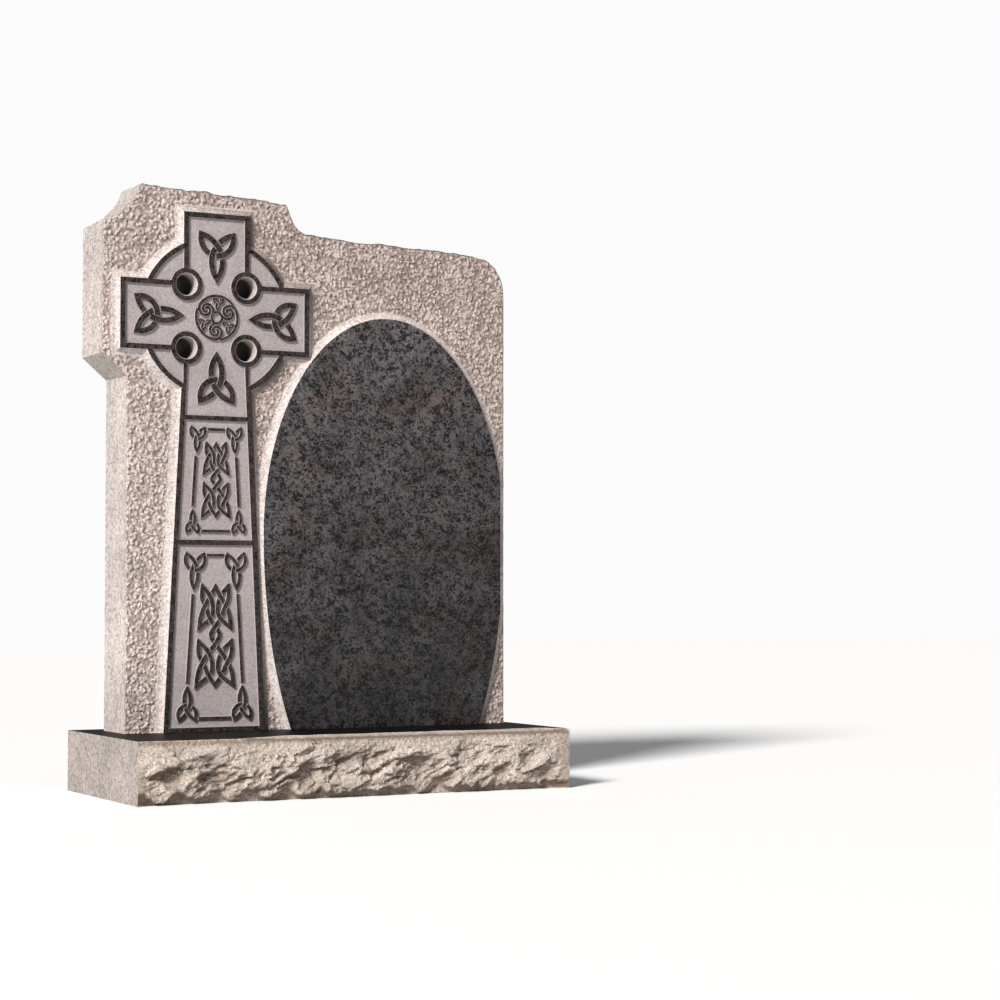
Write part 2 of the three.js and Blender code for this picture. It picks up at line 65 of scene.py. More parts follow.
# Slab
FACE_Y = SLAB_LOW.y
RAISED_HEIGHT = 0.010
SLAB_ARRIS = 0.0026
GROUND_Y = FACE_Y + RAISED_HEIGHT
SLAB_FOOT = SLAB_LOW.z
SLAB_FOOT_LEFT = -0.334
WAIST = (0.682, 0.718)
TOP_STEP_HEIGHT = 0.988
SCOOP_SIZE = 0.066
SCOOP_HOLLOW = 0.71
STEP_X = -0.052
STEP_SIZE = 0.050
STEP_HOLLOW = 0.72
TOP_RIGHT_HEIGHT = 0.926
CORNER_RADIUS = 0.068
# Lengths and depths of the tool marks on the sides and of the breaks along the split top
TOOLED_SIZE, TOOLED_DEPTH = 0.006, 0.0005
SPLIT_SIZE, SPLIT_DEPTH = 0.034, 0.0060
SPLIT_ARRIS = 0.002
# How far out the slopes round the relief reach, and how far the ground strays from its middle
SLOPE_REACH = 0.0115
GROUND_STRAY = 0.003

# Punched ground: how broad and how high its waves are, and where it fades to the slopes and the left edge
KNOB_WARP_SIZE, KNOB_WARP = 0.008, 0.0022
GRIT_SIZE, GRIT_HEIGHT = 0.0045, 0.0007
SWELL_SIZE, SWELL_HEIGHT = 0.05, 0.0006
RAGGED_SIZE, RAGGED_REACH = 0.012, 0.003
SLOPE_FADE = (0.009, 0.015)
LEFT_FADE = (0.0005, 0.004)
KNOB_REACH = 0.70
SMOOTH_SHARE = 0.12
# How much finer each layer of broken noise is than the one before
FINER = 2.1

# Oval inscription face
OVAL = (0.1315, 0.430)
OVAL_HALF_WIDTH = 0.228
OVAL_RISE = 0.370
OVAL_FALL = 0.525

# Cross
CROSS = (-0.182, 0.7845)
ARM_REACH = 0.1665
ARM_TOP = 0.1735
ARM_HALF = 0.058
FOOT_HALF = 0.0885
BORDER = 0.009
CARVED_DEPTH = 0.0035
RING_RADIUS = 0.1335
RING_BORDER = 0.0085
BORE_OFFSET = 0.0525
BORE_RADIUS = 0.018
BORE_MOUTH_RADIUS = 0.0192
BORE_MOUTH_DEPTH = 0.0015
# How deep in the bores their painted shade starts
BORE_LIT_DEPTH = 0.020
BORE_COLLAR_RADIUS = 0.0275
# How deep in the bores their painted shade is full
BORE_DARK_DEPTH = 1.5 * BORE_LIT_DEPTH
CROSS_OVERRUN = 0.012
QUADRANT_STEPS = 20
UPPER_BAR = (0.613, 0.6215)
MIDDLE_BAR = (0.4068, 0.416)
LOWER_BAR_TOP = 0.108
# How far out a raised outline's side has come, and how far down, from its arris to under the ground
RAISED_SIDE = [
    (0, 0),
    (0.0006, 0.0006),
    (0.0022, 0.0040),
    (0.0044, 0.0066),
    (0.0075, 0.0084),
    (0.0110, 0.0095),
    (0.0150, 0.0115),
    (0.0150, 0.0300),
]

# Knotwork
ARM_KNOT = {"reach": 0.110, "length": 0.090, "span": 0.068, "strand": 0.010}
BAR_WIDTH = 0.0054
CROSSING_GAP = 0.001
STRAND_ARRIS = 0.0004
MITRE_LIMIT = 1.5
SLANT_LIMIT = 0.4
STRAIGHT_END = 0.001
CORNER_KNOT_LEAN = 0.04
BAR_GAP = 0.003
BAR_INSET = 0.0025
LEAF_FULLNESS = 0.15
LONG_LEAF_SHARE = 0.62
FOOT_KNOT_SHARE = 0.92
TIP_INSET = 0.6
LINK_HALF = 0.0076
ARC_STEPS = 14
SPLINE_STEPS = 6
ROUND_STEPS = 64

# The roundel: its spirals and small knots are placed by their distance from its middle
ROUNDEL_RADIUS = 0.039
ROUNDEL_STRAND = 0.0048
ROUNDEL_LEAN = math.radians(-95)
SPIRAL_COUNT = 3
SPIRAL_REACH = 0.0224
SPIRAL_EYE = 0.0024
SPIRAL_TURNS = 0.95
SPIRAL_EASE = 0.85
SPIRAL_STEPS = 26
HUB_RADIUS = 0.0091
RIM_SWEEP = math.radians(108)
HUB_SWEEP = math.radians(100)
SWEEP_STEPS = 8
ROUNDEL_KNOT = {"reach": 0.0242, "length": 0.025, "span": 0.022, "strand": 0.0040}

# The two panels of the shaft: sizes of their corner knots and of the double knot between them
PANELS = [
    {
        "strand": 0.0060, "corner_strand": 0.0052,
        "top": 0.604, "bottom": 0.425, "corner_height": 0.047,
        "top_outer": 0.047, "top_inner": 0.018, "foot_outer": 0.053, "foot_inner": 0.028,
        "upper": (0.578, 0.523, 0.0195, 0.024), "lower": (0.511, 0.452, 0.0235, 0.0265),
    },
    {
        "strand": 0.0076, "corner_strand": 0.0064,
        "top": 0.396, "bottom": 0.117, "corner_height": 0.066,
        "top_outer": 0.0545, "top_inner": 0.018, "foot_outer": 0.0655, "foot_inner": 0.031,
        "upper": (0.343, 0.267, 0.026, 0.0315), "lower": (0.252, 0.172, 0.032, 0.036),
    },
]

# Base
PITCHED_BULGE = 0.016
PITCHED_UNDERCUT = 0.009
PITCHED_MARGIN_LEFT = -0.190
PITCHED_MARGIN_DEPTH = 0.046
BASE_END_MARGIN = 0.030
# How far back from the base's front its painted shade reaches
SHADE_PAINT_REACH = 0.026
# Breadth and height on the front of the split front's flat breaks, scars and broad swells
FACET_SIZE = (0.034, 0.022)
SCAR_SIZE = (0.105, 0.056)
BROAD_SIZE = (0.058, 0.034)
FACET_LEAN = 2.2
BROAD_SHARE, FACET_SHARE = 0.30, 0.70
SCAR_COVER = 1.5
GRAIN_SIZE, GRAIN_HEIGHT = 0.0055, 0.0014
FOOT_CHIP = 0.013
MARGIN_FALL = 0.0050

# Studio
CAMERA_PLACE = (-1.5588, -3.5543, 0.3214)
CAMERA_YAW = math.radians(28.13)
CAMERA_PITCH = math.radians(2.417)
CAMERA_LENS = 82.8
FLOOR_GREY = 0.84
BACKDROP_STRENGTH = 0.97
KEY_PLACE = (-2.9, -2.0, 2.6)
KEY_AIM = (0, 0, 0.5)
KEY_ANGLE = math.radians(14)
KEY_COLOUR = (1.0, 0.98, 0.95)
FILL_PLACE = (-3.6, -1.0, 0.1)
FILL_AIM = (-0.3, 0, 0.7)
FILL_SIZE = 2.4
SKY_COLOUR = (0.95, 0.96, 1.0, 1)


def settings():
    return bpy.context.scene.celtic_headstone


def minus(a, b):
    return (a[0] - b[0], a[1] - b[1])


def from_cross(across, up):
    return (CROSS[0] + across, CROSS[1] + up)


def unit(way):
    size = math.hypot(*way)
    return (way[0] / size, way[1] / size)


def lerp(a, b, share):
    return a + (b - a) * share


def between(a, b, share):
    return (lerp(a[0], b[0], share), lerp(a[1], b[1], share))


def smoothstep(low, high, value):
    share = min(1, max(0, (value - low) / (high - low)))
    return share * share * (3 - 2 * share)


def smooth_noise(x, y, z, size):
    return noise.noise(Vector((x, y, z)) / size)


def turn_between(into, out_of):
    across = into[0] * out_of[1] - into[1] * out_of[0]
    return math.atan2(across, into[0] * out_of[0] + into[1] * out_of[1])


def heading(a, b):
    return unit(minus(b, a))


def length_of(run):
    return sum(math.hypot(*minus(b, a)) for a, b in zip(run, run[1:]))


# Meshes


def faces_of(made):
    return [item for item in made if isinstance(item, bmesh.types.BMFace)]


def verts_of(made):
    return [item for item in made if isinstance(item, bmesh.types.BMVert)]


def finished(name, bm):
    """A new object from a bmesh, its faces pointing out."""
    bmesh.ops.recalc_face_normals(bm, faces=bm.faces)
    mesh = bpy.data.meshes.new(name)
    bm.to_mesh(mesh)
    bm.free()
    made = bpy.data.objects.new(name, mesh)
    bpy.context.scene.collection.objects.link(made)
    return made


def prism(bm, drawing, front, back):
    """A flat drawing given thickness, from front to back; returns its front face, which looks forward."""
    area = sum(a[0] * b[1] - b[0] * a[1] for a, b in zip(drawing, drawing[1:] + drawing[:1]))
    ordered = drawing if area > 0 else drawing[::-1]
    face = bm.faces.new([bm.verts.new((x, back, z)) for x, z in ordered])
    made = bmesh.ops.extrude_face_region(bm, geom=[face])["geom"]
    bmesh.ops.translate(bm, verts=verts_of(made), vec=(0, front - back, 0))
    return faces_of(made)[0]


def arrised_prism(bm, drawing, front, back, arris):
    """A prism whose front edge is taken off all round by the arris."""
    face = prism(bm, drawing, front + arris, back)
    bmesh.ops.inset_individual(bm, faces=[face], thickness=arris, depth=arris, use_even_offset=True)


def loft(bm, rings):
    """A solid from rings of points, each joined to the next, with a flat cap on both ends."""
    loops = []
    for ring in rings:
        verts = [bm.verts.new(point) for point in ring]
        loops.append([bm.edges.new(pair) for pair in zip(verts, verts[1:] + verts[:1])])
    for near, far in zip(loops, loops[1:]):
        bmesh.ops.bridge_loops(bm, edges=near + far)
    for loop in (loops[0], loops[-1]):
        bmesh.ops.contextual_create(bm, geom=loop)


def skin(name, around, along, place):
    """A closed tube of around by along faces, each corner put where place(i, j) says, with flat ends."""
    bm = bmesh.new()
    bmesh.ops.create_grid(bm, x_segments=around, y_segments=along, size=1)
    ends = {0: [], along: []}
    for vert in bm.verts:
        i = round((vert.co.x + 1) / 2 * around)
        j = round((vert.co.y + 1) / 2 * along)
        vert.co = place(i % around, j)
        if j in ends:
            ends[j].append(vert)
    bmesh.ops.remove_doubles(bm, verts=[v for v in bm.verts if v.is_boundary], dist=1e-7)
    for boundary in ends.values():
        kept = {v for v in boundary if v.is_valid}
        edges = [e for e in bm.edges if e.is_boundary and e.verts[0] in kept and e.verts[1] in kept]
        bmesh.ops.contextual_create(bm, geom=edges)
    return finished(name, bm)


def combine(piece, operation, *tools):
    """Joins tools to a piece, cuts them from it, or keeps what they share."""
    for tool in tools:
        modifier = piece.modifiers.new(operation, "BOOLEAN")
        modifier.operation = operation
        modifier.solver = "MANIFOLD"
        modifier.object = tool
    bpy.context.view_layer.update()
    graph = bpy.context.evaluated_depsgraph_get()
    result = bpy.data.meshes.new_from_object(piece.evaluated_get(graph))
    piece.modifiers.clear()
    old = piece.data
    piece.data = result
    bpy.data.meshes.remove(old)
    for tool in tools:
        bpy.data.meshes.remove(tool.data)
    return piece


# Outlines


def arc(centre, radius, start, end, steps):
    angles = [lerp(start, end, step / steps) for step in range(steps + 1)]
    return [(centre[0] + radius * math.cos(a), centre[1] + radius * math.sin(a)) for a in angles]


def circle(centre, radius, steps=ROUND_STEPS):
    return arc(centre, radius, 0, math.tau, steps)[:-1]


def straight(start, end, step):
    """Points from start up to end, about a step apart, without the end itself."""
    count = max(1, round(math.dist(start, end) / step))
    return [between(start, end, k / count) for k in range(count)]


def hollow(start, bend, end, steps):
    """A quadratic curve from start to end, without the end itself."""
    shares = [k / steps for k in range(steps)]
    return [between(between(start, bend, t), between(bend, end, t), t) for t in shares]


def slab_outline(step):
    """The slab's outline, anticlockwise from its front left foot."""
    left, right, top = SLAB_LOW.x, SLAB_HIGH.x, SLAB_HIGH.z
    corner = (right - CORNER_RADIUS, TOP_RIGHT_HEIGHT - CORNER_RADIUS)
    step_foot = TOP_STEP_HEIGHT - STEP_SIZE
    bend = SCOOP_HOLLOW * SCOOP_SIZE
    step_start = (STEP_X + STEP_SIZE, step_foot)
    step_bend = (STEP_X + STEP_SIZE * (1 - STEP_HOLLOW), step_foot)
    step_end = (STEP_X, TOP_STEP_HEIGHT)
    scoop_start = (left + SCOOP_SIZE, top)
    shoulder = (left, top - SCOOP_SIZE)
    return [
        *straight((SLAB_FOOT_LEFT, SLAB_FOOT), (right, SLAB_FOOT), step),
        *straight((right, SLAB_FOOT), (right, corner[1]), step),
        *arc(corner, CORNER_RADIUS, 0, math.pi / 2, round(CORNER_RADIUS * 1.57 / step))[:-1],
        *straight((corner[0], TOP_RIGHT_HEIGHT), step_start, step),
        *hollow(step_start, step_bend, step_end, round(1.5 * STEP_SIZE / step)),
        *straight(step_end, scoop_start, step),
        *hollow(scoop_start, (left + bend, top - bend), shoulder, round(0.095 / step)),
        *straight(shoulder, (left, WAIST[1]), step),
        *straight((left, WAIST[1]), (SLAB_FOOT_LEFT, WAIST[0]), step),
        *straight((SLAB_FOOT_LEFT, WAIST[0]), (SLAB_FOOT_LEFT, SLAB_FOOT), step),
    ]


def shaft_half(z):
    """Half the shaft's width at a height."""
    high = CROSS[1] - ARM_HALF
    return lerp(ARM_HALF, FOOT_HALF, (high - z) / (high - SLAB_FOOT))


def cross_outline(border, foot):
    """The cross's outline drawn in by a border, its shaft ending at a height."""
    arm = ARM_HALF - border
    reach = ARM_REACH - border
    top = ARM_TOP - border
    right = [
        (shaft_half(foot) - border, foot - CROSS[1]), (arm, -arm), (reach, -arm),
        (reach, arm), (arm, arm), (arm, top),
    ]
    left = [(-x, z) for x, z in reversed(right)]
    return [from_cross(x, z) for x, z in right + left]


def shaft_panel(low, high, border):
    low_half = shaft_half(low) - border
    high_half = shaft_half(high) - border
    corners = [(-low_half, low), (low_half, low), (high_half, high), (-high_half, high)]
    return [(CROSS[0] + x, z) for x, z in corners]


def oval_outline(grow):
    points = []
    for k in range(3 * ROUND_STEPS):
        angle = math.tau * k / (3 * ROUND_STEPS)
        tall = OVAL_RISE if math.sin(angle) > 0 else OVAL_FALL
        wide = OVAL_HALF_WIDTH + grow
        points.append((OVAL[0] + wide * math.cos(angle), OVAL[1] + (tall + grow) * math.sin(angle)))
    return points


def bore_places():
    return [from_cross(side * BORE_OFFSET, rise * BORE_OFFSET) for side in (-1, 1) for rise in (-1, 1)]


def outside_oval(x, z):
    tall = OVAL_RISE if z > OVAL[1] else OVAL_FALL
    across, up = x - OVAL[0], z - OVAL[1]
    reach = math.hypot(across / OVAL_HALF_WIDTH, up / tall)
    if reach < 0.2:
        return -OVAL_HALF_WIDTH
    slope = math.hypot(across / OVAL_HALF_WIDTH ** 2, up / tall ** 2) / reach
    return (reach - 1) / slope


def outside_box(across, up, half_width, half_height):
    past = (abs(across) - half_width, abs(up) - half_height)
    if past[0] > 0 and past[1] > 0:
        return math.hypot(*past)
    return max(past)


def outside_relief(x, z):
    """How far a place on the front is outside everything raised; less than nothing within it."""
    across, up = x - CROSS[0], z - CROSS[1]
    arms = outside_box(across, up, ARM_REACH, ARM_HALF)
    head = outside_box(across, up - ARM_TOP / 2, ARM_HALF, ARM_TOP / 2)
    shaft = max(abs(across) - shaft_half(z), up)
    ring = math.hypot(across, up) - RING_RADIUS
    return min(arms, head, shaft, ring, outside_oval(x, z))


# Knotwork


def spline(points, steps):
    """A smooth curve through points, with a number of steps from each to the next."""
    padded = [points[0], *points, points[-1]]
    curve = []
    for a, b, c, d in zip(padded, padded[1:], padded[2:], padded[3:]):
        for k in range(steps):
            t = k / steps
            curve.append(tuple(
                b[n] + t * ((c[n] - a[n]) / 2 + t * (a[n] - 2.5 * b[n] + 2 * c[n] - d[n] / 2
                            + t * (1.5 * (b[n] - c[n]) + (d[n] - a[n]) / 2)))
                for n in (0, 1)))
    return [*curve, points[-1]]


def arc_through(a, b, c):
    """An arc of a circle from one point through a second to a third."""
    (bx, bz), (cx, cz) = minus(b, a), minus(c, a)
    twice = 2 * (bx * cz - bz * cx)
    ux = (cz * (bx * bx + bz * bz) - bz * (cx * cx + cz * cz)) / twice
    uz = (bx * (cx * cx + cz * cz) - cx * (bx * bx + bz * bz)) / twice
    start = math.atan2(-uz, -ux)
    sweep = math.atan2(cz - uz, cx - ux) - start
    if twice > 0 and sweep < 0:
        sweep += math.tau
    if twice < 0 and sweep > 0:
        sweep -= math.tau
    return arc((a[0] + ux, a[1] + uz), math.hypot(ux, uz), start, start + sweep, ARC_STEPS)


def crossing(a, b, c, d):
    """Where two straight steps cross, as the shares of the way along each."""
    (rx, rz), (sx, sz), (qx, qz) = minus(b, a), minus(d, c), minus(c, a)
    area = rx * sz - rz * sx
    if abs(area) < 1e-15:
        return None
    t = (qx * sz - qz * sx) / area
    u = (qx * rz - qz * rx) / area
    return (t, u) if 0 <= t < 1 and 0 <= u < 1 else None


def crossings_on_loop(runs):
    """The crossings met along a closed loop of runs, each as (order, run, along, lean)."""
    steps = []
    for index, run in enumerate(runs):
        before = 0
        for start, end in zip(run, run[1:]):
            steps.append((index, start, end, before))
            before += math.dist(start, end)
    met = []
    for i, (_, a, b, _) in enumerate(steps):
        for j in range(i + 2, len(steps)):
            if i == 0 and j == len(steps) - 1:
                continue
            _, c, d, _ = steps[j]
            hit = crossing(a, b, c, d)
            if not hit:
                continue
            turn = turn_between(minus(b, a), minus(d, c))
            for place, share, lean in ((i, hit[0], turn), (j, hit[1], -turn)):
                index, start, end, before = steps[place]
                met.append((place + share, index, before + share * math.dist(start, end), lean))
    return sorted(met)


def stretch(run, start, end, straight_start, straight_end):
    """The part of a run between two lengths along it, straight for a short way at each end."""
    points = []
    passed = 0
    for a, b in zip(run, run[1:]):
        step = math.dist(a, b)

        def at(target):
            return between(a, b, (target - passed) / step)

        if passed <= start < passed + step:
            points.append(at(start))
        if start + straight_start < passed + step < end - straight_end:
            points.append(b)
        if passed < end <= passed + step + 1e-9:
            points.append(at(end))
        passed += step
    return points


def band(points, width, start_reach=(0, 0), end_reach=(0, 0)):
    """The outline of a flat band along a run, each end reaching past it on its left and right edge."""
    left, right = [], []
    for k, point in enumerate(points):
        last = k == len(points) - 1
        back = heading(point, points[1]) if k == 0 else heading(points[k - 1], point)
        ahead = back if last else heading(point, points[k + 1])
        way = unit((back[0] + ahead[0], back[1] + ahead[1]))
        half = width / 2 / (way[0] * ahead[0] + way[1] * ahead[1])
        reach = end_reach if last else (0, 0)
        if k == 0:
            reach = (-start_reach[0], -start_reach[1])
        for edge, out, past in ((left, half, reach[0]), (right, -half, reach[1])):
            edge.append((point[0] - way[1] * out + way[0] * past, point[1] + way[0] * out + way[1] * past))
    return right + left[::-1]


def corner_reach(into, out_of, width):
    """How far a band's edges run past a sharp corner, so that it meets the next band in a point."""
    turn = turn_between(into, out_of)
    reach = min(math.tan(abs(turn) / 2), MITRE_LIMIT) * width / 2
    return (0, reach) if turn > 0 else (reach, 0)


def interlace(runs, width):
    """The bands of a closed loop of runs, over and under by turns, in layers free of overlaps."""
    met = crossings_on_loop(runs)
    layers = [[], [], []]
    for index, run in enumerate(runs):
        previous, following = runs[index - 1], runs[(index + 1) % len(runs)]
        start_reach = corner_reach(heading(*previous[-2:]), heading(*run[:2]), width)
        end_reach = corner_reach(heading(*run[-2:]), heading(*following[:2]), width)
        pieces = [{"start": 0, "start_reach": start_reach, "start_slant": 0}]
        for order, (_, owner, along, lean) in enumerate(met):
            if owner != index or order % 2 == 0:
                continue
            clear = (width / 2 + CROSSING_GAP) / abs(math.sin(lean))
            slant = width / 2 / math.tan(lean)
            pieces[-1].update(end=along - clear, end_slant=slant)
            pieces.append({"start": along + clear, "start_slant": -slant})
        pieces[-1].update(end=length_of(run), end_reach=end_reach, end_slant=0)
        for number, piece in enumerate(pieces):
            size = piece["end"] - piece["start"]
            if size < width / 2:
                continue
            most = SLANT_LIMIT * size
            start, end = (min(most, max(-most, piece[key])) for key in ("start_slant", "end_slant"))
            straight_ends = (abs(start) + STRAIGHT_END, abs(end) + STRAIGHT_END)
            points = stretch(run, piece["start"], piece["end"], *straight_ends)
            start_reach = piece.get("start_reach", (start, -start))
            end_reach = piece.get("end_reach", (end, -end))
            closing = index == len(runs) - 1 and (len(runs) % 2 or number == len(pieces) - 1)
            layers[2 if closing else index % 2].append(band(points, width, start_reach, end_reach))
    return layers


def triquetra(middle, way, length, span, width):
    """A three-pointed knot round a middle, its long leaf pointing along the way."""
    def place(point):
        along, across = point
        return (middle[0] + way[0] * along - way[1] * across, middle[1] + way[1] * along + way[0] * across)

    leaf = length * LONG_LEAF_SHARE - width
    back_leaf = length * (1 - LONG_LEAF_SHARE) - width * TIP_INSET
    side = span / 2 - width * TIP_INSET
    tips = [(leaf, 0), (-back_leaf, side), (-back_leaf, -side)]
    runs = []
    for start, end, third in ((0, 1, 2), (1, 2, 0), (2, 0, 1)):
        through = (tips[third][0] * LEAF_FULLNESS, tips[third][1] * LEAF_FULLNESS)
        runs.append(arc_through(place(tips[start]), place(through), place(tips[end])))
    return interlace(runs, width)


def inward_knot(way, reach, length, span, strand):
    """A three-pointed knot at a reach from the cross's middle, its long leaf pointing back to it."""
    middle = from_cross(way[0] * reach, way[1] * reach)
    return triquetra(middle, (-way[0], -way[1]), length, span, strand)


def double_knot(upper, lower, strand):
    """Two four-pointed knots on one endless strand, from each one's high, low and half widths there."""
    def at(knot, u, v):
        high, low, high_half, low_half = knot
        share = (v + 1) / 2
        half = lerp(low_half, high_half, share) - strand / 2
        return (CROSS[0] + u * half, lerp(low + strand / 2, high - strand / 2, share))

    def through(knot, places):
        return [at(knot, u, v) for u, v in places]

    def mirrored(points):
        return [(2 * CROSS[0] - x, z) for x, z in reversed(points)]

    def inner(knot):
        places = [(-1, 1), (-0.42, 0.55), (-0.17, 0), (-0.3, -0.5), (-1, -1)]
        return spline(through(knot, places), SPLINE_STEPS)

    outer_to_middle = [(-1, 1), (-0.98, 0.45), (-0.62, -0.1), (-0.3, -0.62)]
    foot_to_middle = [(-1, -1), (-0.95, -0.4), (-0.68, 0.15), (-0.3, 0.6)]
    crown = spline([*through(upper, foot_to_middle), at(upper, 0, 0.97)], SPLINE_STEPS)
    bridge = spline([
        *through(upper, outer_to_middle),
        at(upper, 0, -0.92),
        (CROSS[0] + LINK_HALF, (upper[1] + lower[0]) / 2),
        at(lower, 0, 0.9),
        *reversed(through(lower, foot_to_middle)),
    ], SPLINE_STEPS)
    cradle = spline([*through(lower, outer_to_middle), at(lower, 0, -0.97)], SPLINE_STEPS)
    return interlace([
        crown,
        mirrored(crown),
        mirrored(inner(upper)),
        mirrored(bridge)[::-1],
        mirrored(inner(lower)),
        mirrored(cradle)[::-1],
        cradle[::-1],
        inner(lower),
        bridge[::-1],
        inner(upper),
    ], strand)


def spiral_arm(radius, lean, sweep):
    """A strand that sweeps round at a radius, meets the spiral leaning there, and curls to its eye."""
    points = arc(CROSS, radius, lean - sweep, lean, SWEEP_STEPS)[:-1]
    eye = from_cross(SPIRAL_REACH * math.cos(lean), SPIRAL_REACH * math.sin(lean))
    facing = lean if radius > SPIRAL_REACH else lean + math.pi
    for step in range(SPIRAL_STEPS + 1):
        share = step / SPIRAL_STEPS
        size = lerp(abs(radius - SPIRAL_REACH), SPIRAL_EYE, share ** SPIRAL_EASE)
        angle = facing + math.tau * SPIRAL_TURNS * share
        points.append((eye[0] + size * math.cos(angle), eye[1] + size * math.sin(angle)))
    return band(points, ROUNDEL_STRAND)


def roundel():
    """The round knot in the cross's middle: double spirals round a hub, with small knots between them."""
    arms, knots = [], []
    for turn in range(SPIRAL_COUNT):
        lean = ROUNDEL_LEAN + math.tau * turn / SPIRAL_COUNT
        arms.append([spiral_arm(ROUNDEL_RADIUS - ROUNDEL_STRAND / 2, lean, RIM_SWEEP)])
        arms.append([spiral_arm(HUB_RADIUS, lean, -HUB_SWEEP)])
        between = lean + math.pi / SPIRAL_COUNT
        way = (math.cos(between), math.sin(between))
        knots.append(inward_knot(way, **ROUNDEL_KNOT))
    return [*knots, [[], [], [], *arms]]


def bar(start, end):
    return band([(CROSS[0] + start[0], start[1]), (CROSS[0] + end[0], end[1])], BAR_WIDTH)


def panel_knots(panel):
    """A shaft panel's knotwork: a knot in each corner, bars between them, and a double knot."""
    top, bottom, height = panel["top"], panel["bottom"], panel["corner_height"]
    top_middle = (panel["top_outer"] + panel["top_inner"]) / 2
    foot_middle = (panel["foot_outer"] + panel["foot_inner"]) / 2
    top_span = panel["top_outer"] - panel["top_inner"]
    foot_span = panel["foot_outer"] - panel["foot_inner"]
    foot_height = height * FOOT_KNOT_SHARE
    strand = panel["corner_strand"]
    groups = [double_knot(panel["upper"], panel["lower"], panel["strand"])]
    bars = []
    for side in (-1, 1):
        top_knot = (CROSS[0] + side * top_middle, top - height * (1 - LONG_LEAF_SHARE))
        foot_knot = (CROSS[0] + side * foot_middle, bottom + foot_height * (1 - LONG_LEAF_SHARE))
        groups.append(triquetra(top_knot, unit((side * CORNER_KNOT_LEAN, -1)), height, top_span, strand))
        groups.append(triquetra(foot_knot, (0, 1), foot_height, foot_span, strand))
        bars.append(bar(
            (side * (top_middle + BAR_GAP), top - height - BAR_GAP),
            (side * foot_middle, bottom + foot_height + BAR_GAP)))
    for inner, z in ((panel["top_inner"], top - BAR_WIDTH), (panel["foot_inner"], bottom + BAR_WIDTH)):
        bars.append(bar((BAR_INSET - inner, z), (inner - BAR_INSET, z)))
    return groups + [[[], [], bars]]


def knotwork_layers():
    """Every band of the knotwork, sorted so that no two in one layer touch."""
    groups = roundel()
    for panel in PANELS:
        groups += panel_knots(panel)
    for way in ((1, 0), (0, 1), (-1, 0), (0, -1)):
        groups.append(inward_knot(way, **ARM_KNOT))
    count = max(len(group) for group in groups)
    return [[one for group in groups if k < len(group) for one in group[k]] for k in range(count)]


# Carving


def raised(name, outline_at):
    """A raised solid whose outline grows outwards as its side runs down to the ground."""
    bm = bmesh.new()
    loft(bm, [[(x, FACE_Y + down, z) for x, z in outline_at(out)] for out, down in RAISED_SIDE])
    return finished(name, bm)


def sunk_grounds():
    """What is cut away inside the borders, to leave the grounds that the knotwork stands on."""
    arris = STRAND_ARRIS
    floor = FACE_Y + CARVED_DEPTH
    bm = bmesh.new()
    outlines = [
        lambda grow: cross_outline(BORDER - grow, UPPER_BAR[1] - grow),
        lambda grow: shaft_panel(MIDDLE_BAR[1] - grow, UPPER_BAR[0] + grow, BORDER - grow),
        lambda grow: shaft_panel(LOWER_BAR_TOP - grow, MIDDLE_BAR[0] + grow, BORDER - grow),
    ]
    for side in (-1, 1):
        for rise in (-1, 1):
            outlines.append(lambda grow, side=side, rise=rise: quadrant(side, rise, grow))
    for outline_at in outlines:
        rings = ((arris, FACE_Y - arris), (arris, FACE_Y), (0, FACE_Y + arris), (0, floor))
        loft(bm, [[(x, y, z) for x, z in outline_at(grow)] for grow, y in rings])
    return finished("sunk_grounds", bm)


def quadrant(side, rise, grow):
    """The outline of the ring's sunk ground between two arms of the cross, drawn out by a little."""
    inner = ARM_HALF - grow
    radius = RING_RADIUS - RING_BORDER + grow
    start = math.asin(inner / radius)
    points = [(inner, inner), *arc((0, 0), radius, start, math.pi / 2 - start, QUADRANT_STEPS)]
    return [from_cross(side * x, rise * z) for x, z in points]


def collars():
    """The four raised rings of stone round the bores, still without their bores."""
    bm = bmesh.new()
    for place in bore_places():
        outline = circle(place, BORE_COLLAR_RADIUS)
        arrised_prism(bm, outline, FACE_Y, FACE_Y + 2 * CARVED_DEPTH, STRAND_ARRIS)
    return finished("collars", bm)


def bores():
    """What the four drilled holes take away, each with a widened mouth."""
    steps = (
        (BORE_MOUTH_RADIUS, FACE_Y - 0.001), (BORE_MOUTH_RADIUS, FACE_Y),
        (BORE_RADIUS, FACE_Y + BORE_MOUTH_DEPTH), (BORE_RADIUS, FACE_Y + BORE_LIT_DEPTH),
        (BORE_RADIUS, FACE_Y + 1.6 * BORE_LIT_DEPTH), (BORE_RADIUS, SLAB_HIGH.y + 0.001),
    )
    bm = bmesh.new()
    for place in bore_places():
        loft(bm, [[(x, y, z) for x, z in circle(place, radius)] for radius, y in steps])
    return finished("bores", bm)


def strands(layer):
    bm = bmesh.new()
    for drawing in layer:
        arrised_prism(bm, drawing, FACE_Y, FACE_Y + CARVED_DEPTH + 0.001, STRAND_ARRIS)
    return finished("strands", bm)


def relief():
    """Everything that stands out from the ground: the cross, its ring and the oval, with their carving."""
    stone = raised("relief", lambda out: cross_outline(-out, SLAB_FOOT - CROSS_OVERRUN))
    combine(
        stone, "UNION",
        raised("ring", lambda out: circle(CROSS, RING_RADIUS + out, 2 * ROUND_STEPS)),
        raised("oval", oval_outline),
    )
    combine(stone, "DIFFERENCE", sunk_grounds())
    combine(stone, "UNION", collars(), *(strands(layer) for layer in knotwork_layers() if layer))
    return stone


# Slab


def in_from_left(x, z):
    """How far a place on the front is from the slab's left edge."""
    return x - lerp(SLAB_FOOT_LEFT, SLAB_LOW.x, smoothstep(*WAIST, z))


